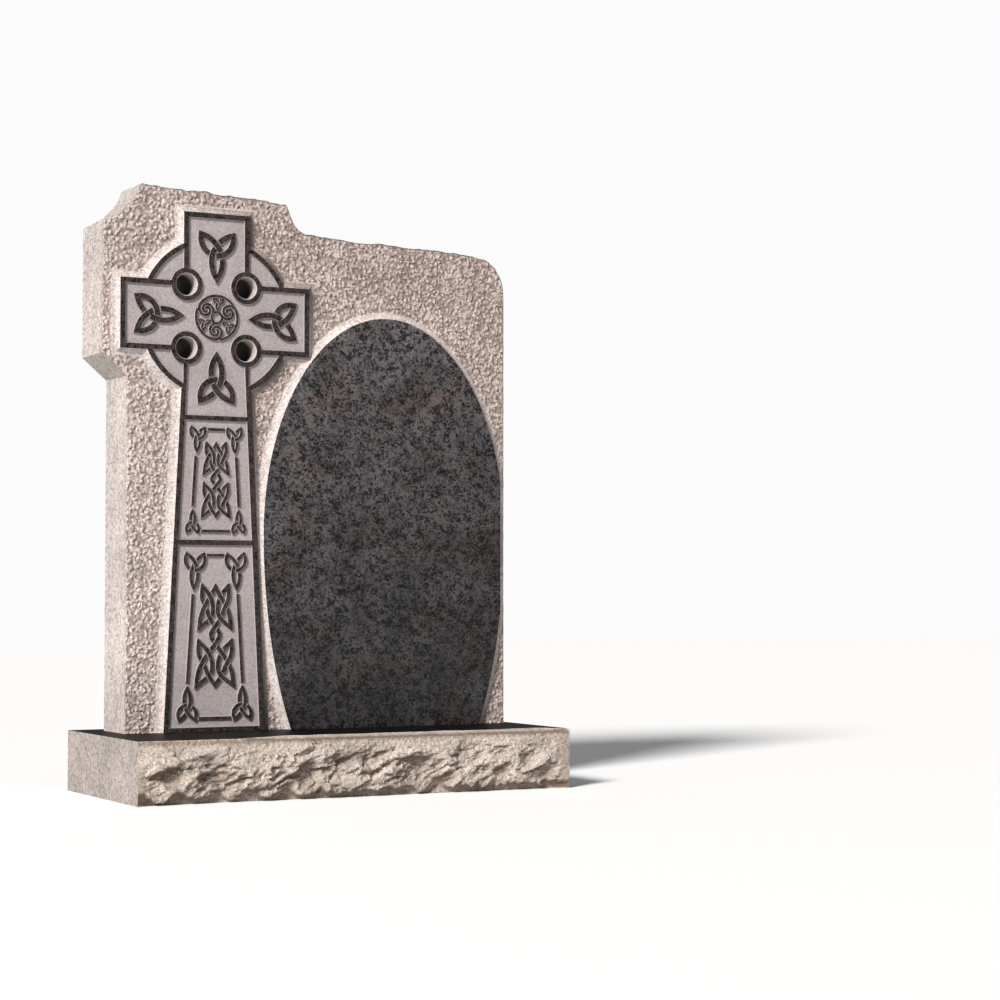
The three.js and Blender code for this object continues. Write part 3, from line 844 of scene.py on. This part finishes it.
def punched(x, z):
    """How far the punched ground lies behind its middle at a place, with knobs between the marks."""
    size = settings().sizes
    warp = noise.noise_vector(Vector((x, z, 0.3)) / KNOB_WARP_SIZE) * KNOB_WARP
    near, cells = noise.voronoi(Vector((x + warp.x, z + warp.y, 0)) / size.knob_spacing)
    left = 0.6 + 0.8 * chance(cells[0].x, cells[0].y)
    knob = left * max(0, 1 - (near[0] / KNOB_REACH) ** 2)
    grit = GRIT_HEIGHT * smooth_noise(x, z, 5.1, GRIT_SIZE)
    swell = SWELL_HEIGHT * smooth_noise(x, z, 9.7, SWELL_SIZE)
    ragged = RAGGED_REACH * smooth_noise(x, z, 2.2, RAGGED_SIZE)
    fade = smoothstep(*SLOPE_FADE, outside_relief(x, z) + ragged)
    fade *= smoothstep(*LEFT_FADE, in_from_left(x, z))
    return lerp(SMOOTH_SHARE, 1, fade) * (size.knob_height * (0.5 - knob) - grit) + swell


def ground_block():
    """A block whose front is the punched ground."""
    cell = settings().sizes.ground_cell
    margin = 0.01
    left, right = SLAB_LOW.x - margin, SLAB_HIGH.x + margin
    low, high = SLAB_LOW.z - margin, SLAB_HIGH.z + margin
    bm = bmesh.new()
    bmesh.ops.create_grid(
        bm, x_segments=round((right - left) / cell), y_segments=round((high - low) / cell), size=1)
    for vert in bm.verts:
        x = lerp(left, right, (vert.co.x + 1) / 2)
        z = lerp(low, high, (vert.co.y + 1) / 2)
        inside = outside_relief(x, z) < -0.005
        vert.co = (x, GROUND_Y if inside else GROUND_Y + punched(x, z), z)
    rim = bmesh.ops.extrude_edge_only(bm, edges=[e for e in bm.edges if e.is_boundary])["geom"]
    for vert in verts_of(rim):
        vert.co.y = SLAB_HIGH.y + margin
    bmesh.ops.contextual_create(bm, geom=[e for e in bm.edges if e.is_boundary])
    return finished("headstone_slab", bm)


def slab_body():
    """The slab's whole outline as a solid, with tooled sides and a rougher split top."""
    step = settings().sizes.side_cell
    outline = slab_outline(step)
    rows = [FACE_Y - SLAB_ARRIS, GROUND_Y + SLAB_ARRIS]
    back_rows = round((SLAB_HIGH.y - rows[-1]) / step)
    rows += [lerp(rows[-1], SLAB_HIGH.y, (k + 1) / back_rows) for k in range(back_rows)]
    outwards = []
    for k, point in enumerate(outline):
        way = heading(outline[k - 1], outline[(k + 1) % len(outline)])
        outwards.append((way[1], -way[0]))

    def place(i, j):
        x, z = outline[i]
        y = rows[j]
        out = outwards[i]
        top = smoothstep(0.3, 0.8, out[1]) * smoothstep(0.02, 0.06, z - WAIST[0])
        tool = TOOLED_DEPTH * smooth_noise(x, y * 2.5, z * 0.35, TOOLED_SIZE)
        rough = noise.fractal(Vector((x, y * 0.6, z)) / SPLIT_SIZE, 0.75, FINER, 4)
        split = SPLIT_DEPTH * (0.45 + 0.55 * rough)
        depth = max(0, lerp(TOOLED_DEPTH + tool, split, top))
        if z < SLAB_FOOT + 1e-6 or j == len(rows) - 1 and top < 0.01:
            depth = 0
        elif j == 0:
            depth = max(depth, TOOLED_DEPTH + SPLIT_ARRIS * top + rows[1] - rows[0])
        return (x - out[0] * depth, y, z - out[1] * depth)

    return skin("slab_body", len(outline), len(rows) - 1, place)


# Which finish a face of the slab has
POLISHED_OVAL, POLISHED_CROSS, BLASTED, PUNCHED, DRESSED, TOOLED, DRILLED, SPLIT_EDGE = range(8)


def in_bore(x, z):
    return min(math.dist((x, z), place) for place in bore_places()) < BORE_MOUTH_RADIUS + 0.0002


def slab_finish(middle, normal):
    x, y, z = middle
    on_face = y < FACE_Y + 1e-4
    near_ground = y < GROUND_Y + 2 * GROUND_STRAY
    if in_bore(x, z) and not (normal.y < -0.95 and on_face):
        return DRILLED
    if on_face:
        return POLISHED_OVAL if outside_oval(x, z) < 1e-4 else POLISHED_CROSS
    gone_out = outside_relief(x, z)
    if gone_out < -1e-4 and y < GROUND_Y - GROUND_STRAY:
        return BLASTED
    if gone_out < SLOPE_REACH and y < GROUND_Y + GROUND_STRAY:
        return PUNCHED if normal.z > 0.35 else DRESSED
    if near_ground and normal.y < -0.2 and not (gone_out > 0.016 and normal.z > 0.6):
        return PUNCHED
    return SPLIT_EDGE if normal.z > 0.3 and near_ground and x > SLAB_LOW.x + SCOOP_SIZE else TOOLED


def slab_shade_mask(place):
    """How much shade is painted on a place: deep in the bores, on the slopes right of the cross, and on the
    ground in its pits and more towards its upper right.
    """
    x, y, z = place
    # Painted shade: the bores darken deep in
    if in_bore(x, z):
        return smoothstep(BORE_LIT_DEPTH, BORE_DARK_DEPTH, y - FACE_Y)
    gone_out = outside_relief(x, z)
    if y > GROUND_Y + 2 * GROUND_STRAY or gone_out < -2e-4:
        return 0
    # Painted shade on the slopes to the right of the cross, darkest next to it, none beside the oval
    if gone_out < SLOPE_REACH:
        beside = outside_relief(x + 0.001, z) - outside_relief(x - 0.001, z)
        from_oval = outside_oval(x, z) - gone_out
        return smoothstep(0.0004, 0.0014, beside) * smoothstep(0, 0.003, from_oval) * (1 - 40 * gone_out)
    # Painted shade: the ground darker towards its upper right, where the light falls off, and darker in its
    # pits
    painted_falloff = 0.3 * smoothstep(-0.35, 0.25, x + 0.5 * (z - 0.5))
    return painted_falloff + 0.8 * smoothstep(GROUND_Y - 0.0004, GROUND_Y + 0.0012, y)


def assign_finishes(piece, materials, finish_of, shade_at):
    """Gives each face its finish and each corner its share of painted shade, and rounds the shading between
    real arrises.
    """
    # The hollow attribute carries the painted shade, corner by corner
    hollow = piece.data.attributes.new("hollow", "FLOAT", "POINT")
    hollow.data.foreach_set("value", [shade_at(vert.co) for vert in piece.data.vertices])
    for material in materials:
        piece.data.materials.append(material)
    for face in piece.data.polygons:
        face.material_index = finish_of(face.center, face.normal)
    piece.data.shade_smooth()
    piece.data.set_sharp_from_angle(angle=math.radians(38))


# Base


def chance(i, j):
    """A repeatable random number from 0 to 1 for a grid place."""
    wave = math.sin(i * 127.1 + j * 311.7 + 17.3) * 43758.5453
    return wave - math.floor(wave)


def broad_noise(x, z):
    """Smooth noise from 0 to 1, the same as the CAD base's."""
    i, j = math.floor(x), math.floor(z)
    u, v = smoothstep(0, 1, x - i), smoothstep(0, 1, z - j)
    low = lerp(chance(i, j), chance(i + 1, j), u)
    high = lerp(chance(i, j + 1), chance(i + 1, j + 1), u)
    return lerp(low, high, v)


def in_from_end(x):
    return min(1, (BASE_HIGH.x - abs(x)) / BASE_END_MARGIN)


def facets(x, z):
    """The flat breaks of the split front, from about 0 to 1: each is a plane that leans its own way."""
    spot = Vector((x / FACET_SIZE[0], z / FACET_SIZE[1], 2.7))
    planes = []
    for point in noise.voronoi(spot)[1]:
        lean = noise.noise_vector(point * 5.3)
        planes.append(lean.z + FACET_LEAN * (lean.x * (spot.x - point.x) + lean.y * (spot.y - point.y)))
    return 0.4 + 0.5 * max(planes)


def foot_height(x):
    """How high the ragged chips along the foot of the split front reach."""
    broad = smooth_noise(x, 0, 6.6, 0.030)
    fine = smooth_noise(x, 0, 1.6, 0.010)
    return max(0.003, FOOT_CHIP + 0.016 * broad + 0.007 * fine)


def pitched(x, z):
    """How far the split front stands out at a place: flat breaks, with ridged scars, deepest low down."""
    up = z / BASE_HIGH.z
    bulge = math.sin(math.pi * 0.96 * up) ** 0.7
    broad = broad_noise(x / BROAD_SIZE[0] + 7, z / BROAD_SIZE[1] + 3)
    broken = BROAD_SHARE * broad + FACET_SHARE * facets(x, z)
    spot = Vector((x / SCAR_SIZE[0] + 0.25, z / SCAR_SIZE[1] - 0.5 * x / SCAR_SIZE[0], 0.4))
    warp = noise.noise_vector(spot * 2) * 0.12
    chipped = max(0, SCAR_COVER - noise.ridged_multi_fractal(spot + warp, 0.85, FINER, 5, 1.0, 2.0))
    chipped *= smoothstep(0, 0.3, 1 - up) * lerp(1, 0.45, smoothstep(0.45, 0.8, up))
    grain = noise.fractal(Vector((x, z, 3.3)) / GRAIN_SIZE, 0.5, FINER, 3)
    foot = foot_height(x)
    under = smoothstep(foot, foot * 0.5, z)
    out = bulge * (PITCHED_BULGE * broken - settings().sizes.chip_depth * chipped) + GRAIN_HEIGHT * grain
    return in_from_end(x) * (out - PITCHED_UNDERCUT * ((1 - up) ** 3 * 0.4 + 1.3 * under))


def margin_drop(x, back):
    """How far the rough margin lies below the polished top, at a distance back from the front edge."""
    reach = PITCHED_MARGIN_DEPTH * (0.75 + 0.35 * smooth_noise(x, 0, 1.9, 0.045))
    reach *= smoothstep(PITCHED_MARGIN_LEFT - 0.03, PITCHED_MARGIN_LEFT + 0.05, x) * in_from_end(x)
    if back >= reach:
        return 0
    share = 1 - back / reach
    rough = noise.fractal(Vector((x, back, 4.4)) / 0.010, 0.7, FINER, 4)
    return max(0.0006, 0.0012 + MARGIN_FALL * share ** 1.5 + 0.0012 * rough)


def base_stone():
    """The base as one closed stone: a section round its front, top, back and underside, run along X."""
    cell = settings().sizes.base_cell
    depth = BASE_HIGH.y * 2
    height = BASE_HIGH.z
    front_steps = round(height / cell)
    margin_reach = PITCHED_MARGIN_DEPTH * 1.3
    margin_steps = round(margin_reach / cell)
    section = [(0, k * height / front_steps) for k in range(front_steps)]
    section += [(k * margin_reach / margin_steps, height) for k in range(margin_steps + 1)]
    section += [(0.12, height), (0.2, height), (depth, height), (depth, 0), (0.2, 0), (0.02, 0)]
    along = round(2 * BASE_HIGH.x / cell)

    def place(i, j):
        back, z = section[i]
        x = lerp(BASE_LOW.x, BASE_HIGH.x, j / along)
        y = back - BASE_HIGH.y
        if back == 0:
            drop = margin_drop(x, 0)
            y = max(BASE_LOW.y, y - pitched(x, z))
            return (x, y, z - drop * smoothstep(0.6, 1, z / height))
        if z == height and back <= margin_reach:
            bulged = pitched(x, height) * (1 - back / margin_reach)
            return (x, y - bulged, z - margin_drop(x, back))
        return (x, y, z)

    return skin("rock_faced_base", len(section), along, place)


def base_shade_mask(place):
    """How much shade is painted on the base's front: where it overhangs or turns from the light, where it
    lies back and along its ragged foot, with a darker band near its top edge.
    """
    x, y, z = place
    back = y + BASE_HIGH.y
    if back > SHADE_PAINT_REACH or z > 0.998 * BASE_HIGH.z:
        return 0
    # Painted shade under overhangs, on faces turned from the light, where the front lies back and along the
    # chipped foot
    step = 0.004
    here = pitched(x, z)
    overhang = (pitched(x, z + step) - here) / step
    turned = (here - pitched(x + step, z)) / step
    deep = 0.40 * smoothstep(-0.010, 0.010, back)
    foot = 0.8 * smoothstep(foot_height(x) + 0.004, foot_height(x) - 0.004, z)
    margin = 0.5 * smoothstep(0.88, 0.95, z / BASE_HIGH.z)
    shade_sum = deep + foot + margin + smoothstep(0.2, 1.3, overhang + 0.7 * turned)
    return min(1, shade_sum) * smoothstep(SHADE_PAINT_REACH, 0.004, back)


PITCHED_FACE, LEDGE, BASE_TOOLED = range(3)


def base_finish(middle, normal):
    x, y, z = middle
    if abs(normal.x) > 0.95 or y > BASE_HIGH.y - 1e-3 or z < 1e-3:
        return BASE_TOOLED
    if z > BASE_HIGH.z - 2e-4 and normal.z > 0.98:
        return LEDGE
    return PITCHED_FACE


# Granite


def node(tree, kind, inputs=None, **options):
    """A new shader node with its options, and its inputs set to values or linked to other outputs."""
    made = tree.nodes.new("ShaderNode" + kind)
    for name, value in options.items():
        setattr(made, name, value)
    for name, value in (inputs or {}).items():
        if isinstance(value, bpy.types.NodeSocket):
            tree.links.new(value, made.inputs[name])
        else:
            made.inputs[name].default_value = value
    return made


def mixed(tree, factor, first, second, mode="MIX"):
    made = node(tree, "Mix", {0: factor, 6: first, 7: second}, data_type="RGBA", blend_type=mode)
    return made.outputs[2]


def multiplied(tree, first, second):
    return mixed(tree, 1.0, first, second, "MULTIPLY")


def clouds(tree, place, scale, detail, roughness=0.5):
    return node(tree, "TexNoise", {
        "Vector": place, "Scale": scale, "Detail": detail, "Roughness": roughness})


def mapped(tree, value, low, high, low_result, high_result):
    made = node(tree, "MapRange", {
        "Value": value, "From Min": low, "From Max": high, "To Min": low_result, "To Max": high_result})
    return made.outputs[0]


def ramp(tree, factor, stops, interpolation="LINEAR"):
    made = node(tree, "ValToRGB", {"Fac": factor})
    made.color_ramp.interpolation = interpolation
    while len(made.color_ramp.elements) < len(stops):
        made.color_ramp.elements.new(0.5)
    for element, (place, colour) in zip(made.color_ramp.elements, stops):
        element.position = place
        element.color = colour
    return made.outputs["Color"]


def grey(value):
    return (value, value, value, 1)


def tinted(colour, brightness):
    return (*(part * brightness for part in colour), 1)


# Where each tint of crystal starts, and its brightness
COARSE_FLECKS = [(0, 0.70), (0.26, 0.96), (0.62, 1.20)]
FINE_FLECKS = [(0, 0.84), (0.25, 1.0), (0.72, 1.10)]
DARK_FLECKS = [(0, 0.14), (0.24, 0.65), (0.45, 1.0), (0.74, 1.55)]


def granite(
        name, colour, flecks, grain, roughness, mottle,
        sheen=0.5, cluster=0.0, bump=0.0, painted_shade=None, drift=None, foot=1.0):
    """Speckled stone: crystals of a grain's size in a few tints, cloudy mottling, and painted shade.

    cluster gathers the dark crystals together, drift is two hues that come and go in patches, the shade
    colour is multiplied in as painted shade where the hollow attribute says, and foot is the brightness
    left low down and to the right, a painted reflection that leaves the upper left lighter.
    """
    material = bpy.data.materials.new(name)
    material.use_nodes = True
    tree = material.node_tree
    shader = tree.nodes["Principled BSDF"]
    place = node(tree, "TexCoord").outputs["Object"]
    wander = clouds(tree, place, 0.5 / grain, 2.0).outputs["Color"]
    offset = node(tree, "VectorMath", {0: wander, 1: (grain * 1.6,) * 3}, operation="MULTIPLY")
    moved = node(tree, "VectorMath", {0: place, 1: offset.outputs[0]}, operation="ADD")
    crystals = node(tree, "TexVoronoi", {"Vector": moved.outputs[0], "Scale": 1 / grain})
    pick = node(tree, "SeparateColor", {"Color": crystals.outputs["Color"]}).outputs["Red"]
    if cluster:
        crowd = clouds(tree, place, 0.22 / grain, 3.0).outputs["Fac"]
        gathered = mapped(tree, crowd, 0.3, 0.7, -cluster, cluster)
        pick = node(tree, "Math", {0: pick, 1: gathered}, operation="ADD").outputs[0]
    tints = [(share, tinted(colour, brightness)) for share, brightness in flecks]
    shown = ramp(tree, pick, tints, "CONSTANT")
    specks = clouds(tree, place, 2.2 / grain, 2.0).outputs["Fac"]
    shown = multiplied(tree, shown, ramp(tree, specks, [(0.35, grey(0.80)), (0.65, grey(1.15))]))
    cloud = clouds(tree, place, 11.0, 5.0, 0.6).outputs["Fac"]
    shown = multiplied(tree, shown, ramp(tree, cloud, [(0.32, grey(1 - mottle)), (0.68, grey(1))]))
    if drift:
        patches = clouds(tree, place, 13.0, 3.0).outputs["Fac"]
        tints = [(0.40, tinted(drift[0], 1)), (0.50, grey(0.85)), (0.60, tinted(drift[1], 1))]
        shown = multiplied(tree, shown, ramp(tree, patches, tints))
    # Painted shade: multiplied in by the shade colour as far as the piece's hollow attribute says
    if painted_shade:
        shade_share = node(tree, "Attribute", attribute_name="hollow").outputs["Fac"]
        shown = mixed(tree, shade_share, shown, multiplied(tree, shown, tinted(painted_shade, 1)))
    # Painted reflection: lighter towards the upper left, darker low down to the right
    if foot < 1:
        height = node(tree, "VectorMath", {0: place, 1: (-0.5, 0, 1)}, operation="DOT_PRODUCT")
        shown = multiplied(tree, shown, mapped(tree, height.outputs["Value"], 0.12, 0.85, foot, 1.0))
    tree.links.new(shown, shader.inputs["Base Color"])
    shader.inputs["Specular IOR Level"].default_value = sheen
    shader.inputs["Roughness"].default_value = roughness
    if bump:
        fine = clouds(tree, place, 700.0, 4.0).outputs["Fac"]
        raised_by = node(tree, "Bump", {"Height": fine, "Distance": bump, "Strength": 1.0})
        tree.links.new(raised_by.outputs["Normal"], shader.inputs["Normal"])
    return material


def slab_materials():
    colours = settings().colours
    patches = (colours.cool_patches, colours.warm_patches)
    return [
        # Painted reflection: foot leaves the oval lighter towards the upper left, darker low down to the
        # right
        granite(
            "polished_oval", colours.polished_oval, DARK_FLECKS, 0.0030, 0.30, 0.50,
            sheen=0.25, cluster=0.36, drift=patches, foot=0.36),
        granite("polished_cross", colours.polished_cross, DARK_FLECKS, 0.0030, 0.45, 0.15, sheen=0.25),
        granite("blasted_field", colours.blasted, FINE_FLECKS, 0.0022, 0.9, 0.15, bump=0.0006),
        granite(
            "punched_ground", colours.punched, COARSE_FLECKS, 0.0032, 0.92, 0.16,
            bump=0.0006, painted_shade=colours.painted_shade),
        # The dressed slopes take the painted shade right of the cross
        granite(
            "dressed_slope", colours.dressed, COARSE_FLECKS, 0.0024, 0.85, 0.12,
            bump=0.0004, painted_shade=colours.shade),
        granite("tooled_side", colours.tooled, COARSE_FLECKS, 0.0040, 0.9, 0.24, bump=0.0006),
        granite(
            "drilled_bore", colours.tooled, FINE_FLECKS, 0.0020, 0.8, 0.1,
            bump=0.0002, painted_shade=colours.painted_bore_shade),
        granite("split_edge", colours.split_edge, COARSE_FLECKS, 0.0040, 0.92, 0.3, bump=0.0006),
    ]


def base_materials():
    colours = settings().colours
    return [
        granite(
            "pitched_face", colours.pitched, COARSE_FLECKS, 0.0022, 0.93, 0.25,
            bump=0.0008, painted_shade=colours.painted_base_shade),
        granite("polished_ledge", colours.ledge, DARK_FLECKS, 0.0026, 0.5, 0.2, sheen=0.05),
        granite("tooled_end", colours.base_end, COARSE_FLECKS, 0.0040, 0.9, 0.35, bump=0.0014),
    ]


# Settings


def colour_setting(name, description, default):
    return bpy.props.FloatVectorProperty(
        name=name, description=description, subtype="COLOR", size=3, min=0, max=1, default=default)


def size_setting(name, description, default):
    return bpy.props.FloatProperty(
        name=name, description=description, unit="LENGTH", subtype="DISTANCE", min=0.0001, default=default)


def strength_setting(name, description, default, unit="NONE"):
    return bpy.props.FloatProperty(name=name, description=description, unit=unit, min=0, default=default)


class HeadstoneSizes(bpy.types.PropertyGroup):
    knob_spacing: size_setting("Knob spacing", "From one knob of the ground to the next", 0.0052)
    knob_height: size_setting("Knob height", "Height of the punched ground's knobs", 0.0026)
    chip_depth: size_setting("Chip depth", "Depth of the chips in the base's split front", 0.0200)
    ground_cell: size_setting("Ground cell", "Size of the punched ground's mesh faces", 0.00175)
    side_cell: size_setting("Side cell", "Size of the slab's side faces", 0.0050)
    base_cell: size_setting("Base cell", "Size of the base's front faces", 0.0018)


class HeadstoneColours(bpy.types.PropertyGroup):
    polished_oval: colour_setting("Polished oval", "The inscription face", (0.110, 0.102, 0.103))
    cool_patches: colour_setting("Cool patches", "Tint of some patches of the oval", (0.94, 0.92, 1.0))
    warm_patches: colour_setting("Warm patches", "Tint of the others", (0.96, 0.86, 0.82))
    polished_cross: colour_setting("Polished cross", "Borders, bars and strands", (0.032, 0.024, 0.022))
    blasted: colour_setting("Blasted field", "Sunk grounds of the cross", (0.335, 0.294, 0.291))
    punched: colour_setting("Punched ground", "Light stone round the relief", (0.51, 0.433, 0.402))
    dressed: colour_setting("Dressed slope", "Slopes at the relief's edges", (0.46, 0.405, 0.385))
    tooled: colour_setting("Tooled side", "The slab's sides and back", (0.41, 0.36, 0.335))
    # Painted shade on the punched ground: darker in its pits and towards its upper right
    painted_shade: colour_setting("Ground stain", "Darkens the ground between knobs", (0.48, 0.425, 0.395))
    shade: colour_setting("Shaded slope", "Darkens slopes right of the cross", (0.09, 0.07, 0.06))
    # Painted shade deep in the bores
    painted_bore_shade: colour_setting("Bore stain", "Darkens the bores deep in", (0.16, 0.12, 0.10))
    split_edge: colour_setting("Split edge", "The slab's rough top edge", (0.16, 0.14, 0.13))
    pitched: colour_setting("Split face", "The base's rock face", (0.465, 0.395, 0.34))
    # Painted shade on the base's split front
    painted_base_shade: colour_setting("Split face stain", "Darkens its hollows", (0.30, 0.24, 0.195))
    ledge: colour_setting("Polished ledge", "The base's top", (0.006, 0.006, 0.006))
    base_end: colour_setting("Base end", "The base's ends and back", (0.325, 0.283, 0.259))


class StudioSettings(bpy.types.PropertyGroup):
    key_strength: strength_setting("Key light", "Strength of the soft sun from the upper left", 5.8)
    fill_power: strength_setting("Fill power", "Power of the low soft fill from the left", 40, unit="POWER")
    sky_strength: strength_setting("Sky", "Strength of the even light from all round", 0.28)


class HeadstoneSettings(bpy.types.PropertyGroup):
    sizes: bpy.props.PointerProperty(type=HeadstoneSizes)
    colours: bpy.props.PointerProperty(type=HeadstoneColours)
    studio: bpy.props.PointerProperty(type=StudioSettings)


# Operators


class MEMORIAL_OT_headstone(bpy.types.Operator):
    """Build the carved slab with its raised cross, ring, knotwork and oval"""

    bl_idname = "memorial.headstone"
    bl_label = "Headstone"

    def execute(self, context):
        noise.seed_set(NOISE_SEED)
        slab = ground_block()
        combine(slab, "UNION", relief())
        combine(slab, "INTERSECT", slab_body())
        combine(slab, "DIFFERENCE", bores())
        slab.data.materials.clear()
        assign_finishes(slab, slab_materials(), slab_finish, slab_shade_mask)
        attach(slab, "root")
        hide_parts("headstone")
        return {"FINISHED"}


class MEMORIAL_OT_base(bpy.types.Operator):
    """Build the base with its split front and polished top"""

    bl_idname = "memorial.base"
    bl_label = "Base"

    def execute(self, context):
        noise.seed_set(NOISE_SEED)
        base = base_stone()
        assign_finishes(base, base_materials(), base_finish, base_shade_mask)
        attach(base, "root")
        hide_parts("base")
        return {"FINISHED"}


def aimed(data, place, ahead):
    """A lamp or camera put in the scene at a place, looking the way ahead."""
    made = bpy.data.objects.new(data.name, data)
    made.location = place
    made.rotation_euler = Vector(ahead).to_track_quat("-Z", "Y").to_euler()
    bpy.context.scene.collection.objects.link(made)
    return made


class MEMORIAL_OT_studio(bpy.types.Operator):
    """Set the pale floor, the soft lights and the camera"""

    bl_idname = "memorial.studio"
    bl_label = "Studio"

    def execute(self, context):
        studio = settings().studio
        bm = bmesh.new()
        bmesh.ops.create_grid(bm, x_segments=1, y_segments=1, size=12)
        floor = finished("studio_floor", bm)
        paint = bpy.data.materials.new("pale_floor")
        paint.use_nodes = True
        shader = paint.node_tree.nodes["Principled BSDF"]
        shader.inputs["Base Color"].default_value = grey(FLOOR_GREY)
        shader.inputs["Roughness"].default_value = 0.9
        floor.data.materials.append(paint)

        key = bpy.data.lights.new("key_light", "SUN")
        key.angle = KEY_ANGLE
        key.energy = studio.key_strength
        key.color = KEY_COLOUR
        aimed(key, KEY_PLACE, Vector(KEY_AIM) - Vector(KEY_PLACE))

        fill = bpy.data.lights.new("fill_light", "AREA")
        fill.shape = "SQUARE"
        fill.size = FILL_SIZE
        fill.energy = studio.fill_power
        aimed(fill, FILL_PLACE, Vector(FILL_AIM) - Vector(FILL_PLACE)).visible_camera = False

        world = bpy.data.worlds.new("studio_sky")
        context.scene.world = world
        context.scene.view_settings.view_transform = "Standard"
        world.use_nodes = True
        tree = world.node_tree
        sky = tree.nodes["Background"]
        sky.inputs["Color"].default_value = SKY_COLOUR
        sky.inputs["Strength"].default_value = studio.sky_strength
        backdrop = node(tree, "Background", {"Color": grey(1), "Strength": BACKDROP_STRENGTH})
        from_camera = node(tree, "LightPath").outputs["Is Camera Ray"]
        shown = node(tree, "MixShader", {0: from_camera, 1: sky.outputs[0], 2: backdrop.outputs[0]})
        tree.links.new(shown.outputs[0], tree.nodes["World Output"].inputs["Surface"])

        camera = bpy.data.cameras.new("camera")
        camera.lens = CAMERA_LENS
        camera.sensor_width = 36
        level = math.cos(CAMERA_PITCH)
        ahead = (math.sin(CAMERA_YAW) * level, math.cos(CAMERA_YAW) * level, math.sin(CAMERA_PITCH))
        context.scene.camera = aimed(camera, CAMERA_PLACE, ahead)
        return {"FINISHED"}


class MEMORIAL_PT_panel(bpy.types.Panel):
    """The headstone's pieces and settings"""

    bl_idname = "MEMORIAL_PT_panel"
    bl_label = "Celtic Cross Headstone"
    bl_space_type = "VIEW_3D"
    bl_region_type = "UI"
    bl_category = "Memorial"

    def draw(self, context):
        stone = settings()
        for operator in (MEMORIAL_OT_headstone, MEMORIAL_OT_base, MEMORIAL_OT_studio):
            self.layout.operator(operator.bl_idname)
        for group in (stone.sizes, stone.colours, stone.studio):
            for name in group.__annotations__:
                self.layout.prop(group, name)


CLASSES = (
    HeadstoneSizes,
    HeadstoneColours,
    StudioSettings,
    HeadstoneSettings,
    MEMORIAL_OT_headstone,
    MEMORIAL_OT_base,
    MEMORIAL_OT_studio,
    MEMORIAL_PT_panel,
)


def register():
    for one in CLASSES:
        bpy.utils.register_class(one)
    bpy.types.Scene.celtic_headstone = bpy.props.PointerProperty(type=HeadstoneSettings)


def unregister():
    del bpy.types.Scene.celtic_headstone
    for one in reversed(CLASSES):
        bpy.utils.unregister_class(one)


def main():
    register()
    bpy.ops.memorial.studio()
    bpy.ops.memorial.base()
    bpy.ops.memorial.headstone()
    bpy.context.view_layer.update()


if __name__ == "__main__":
    main()
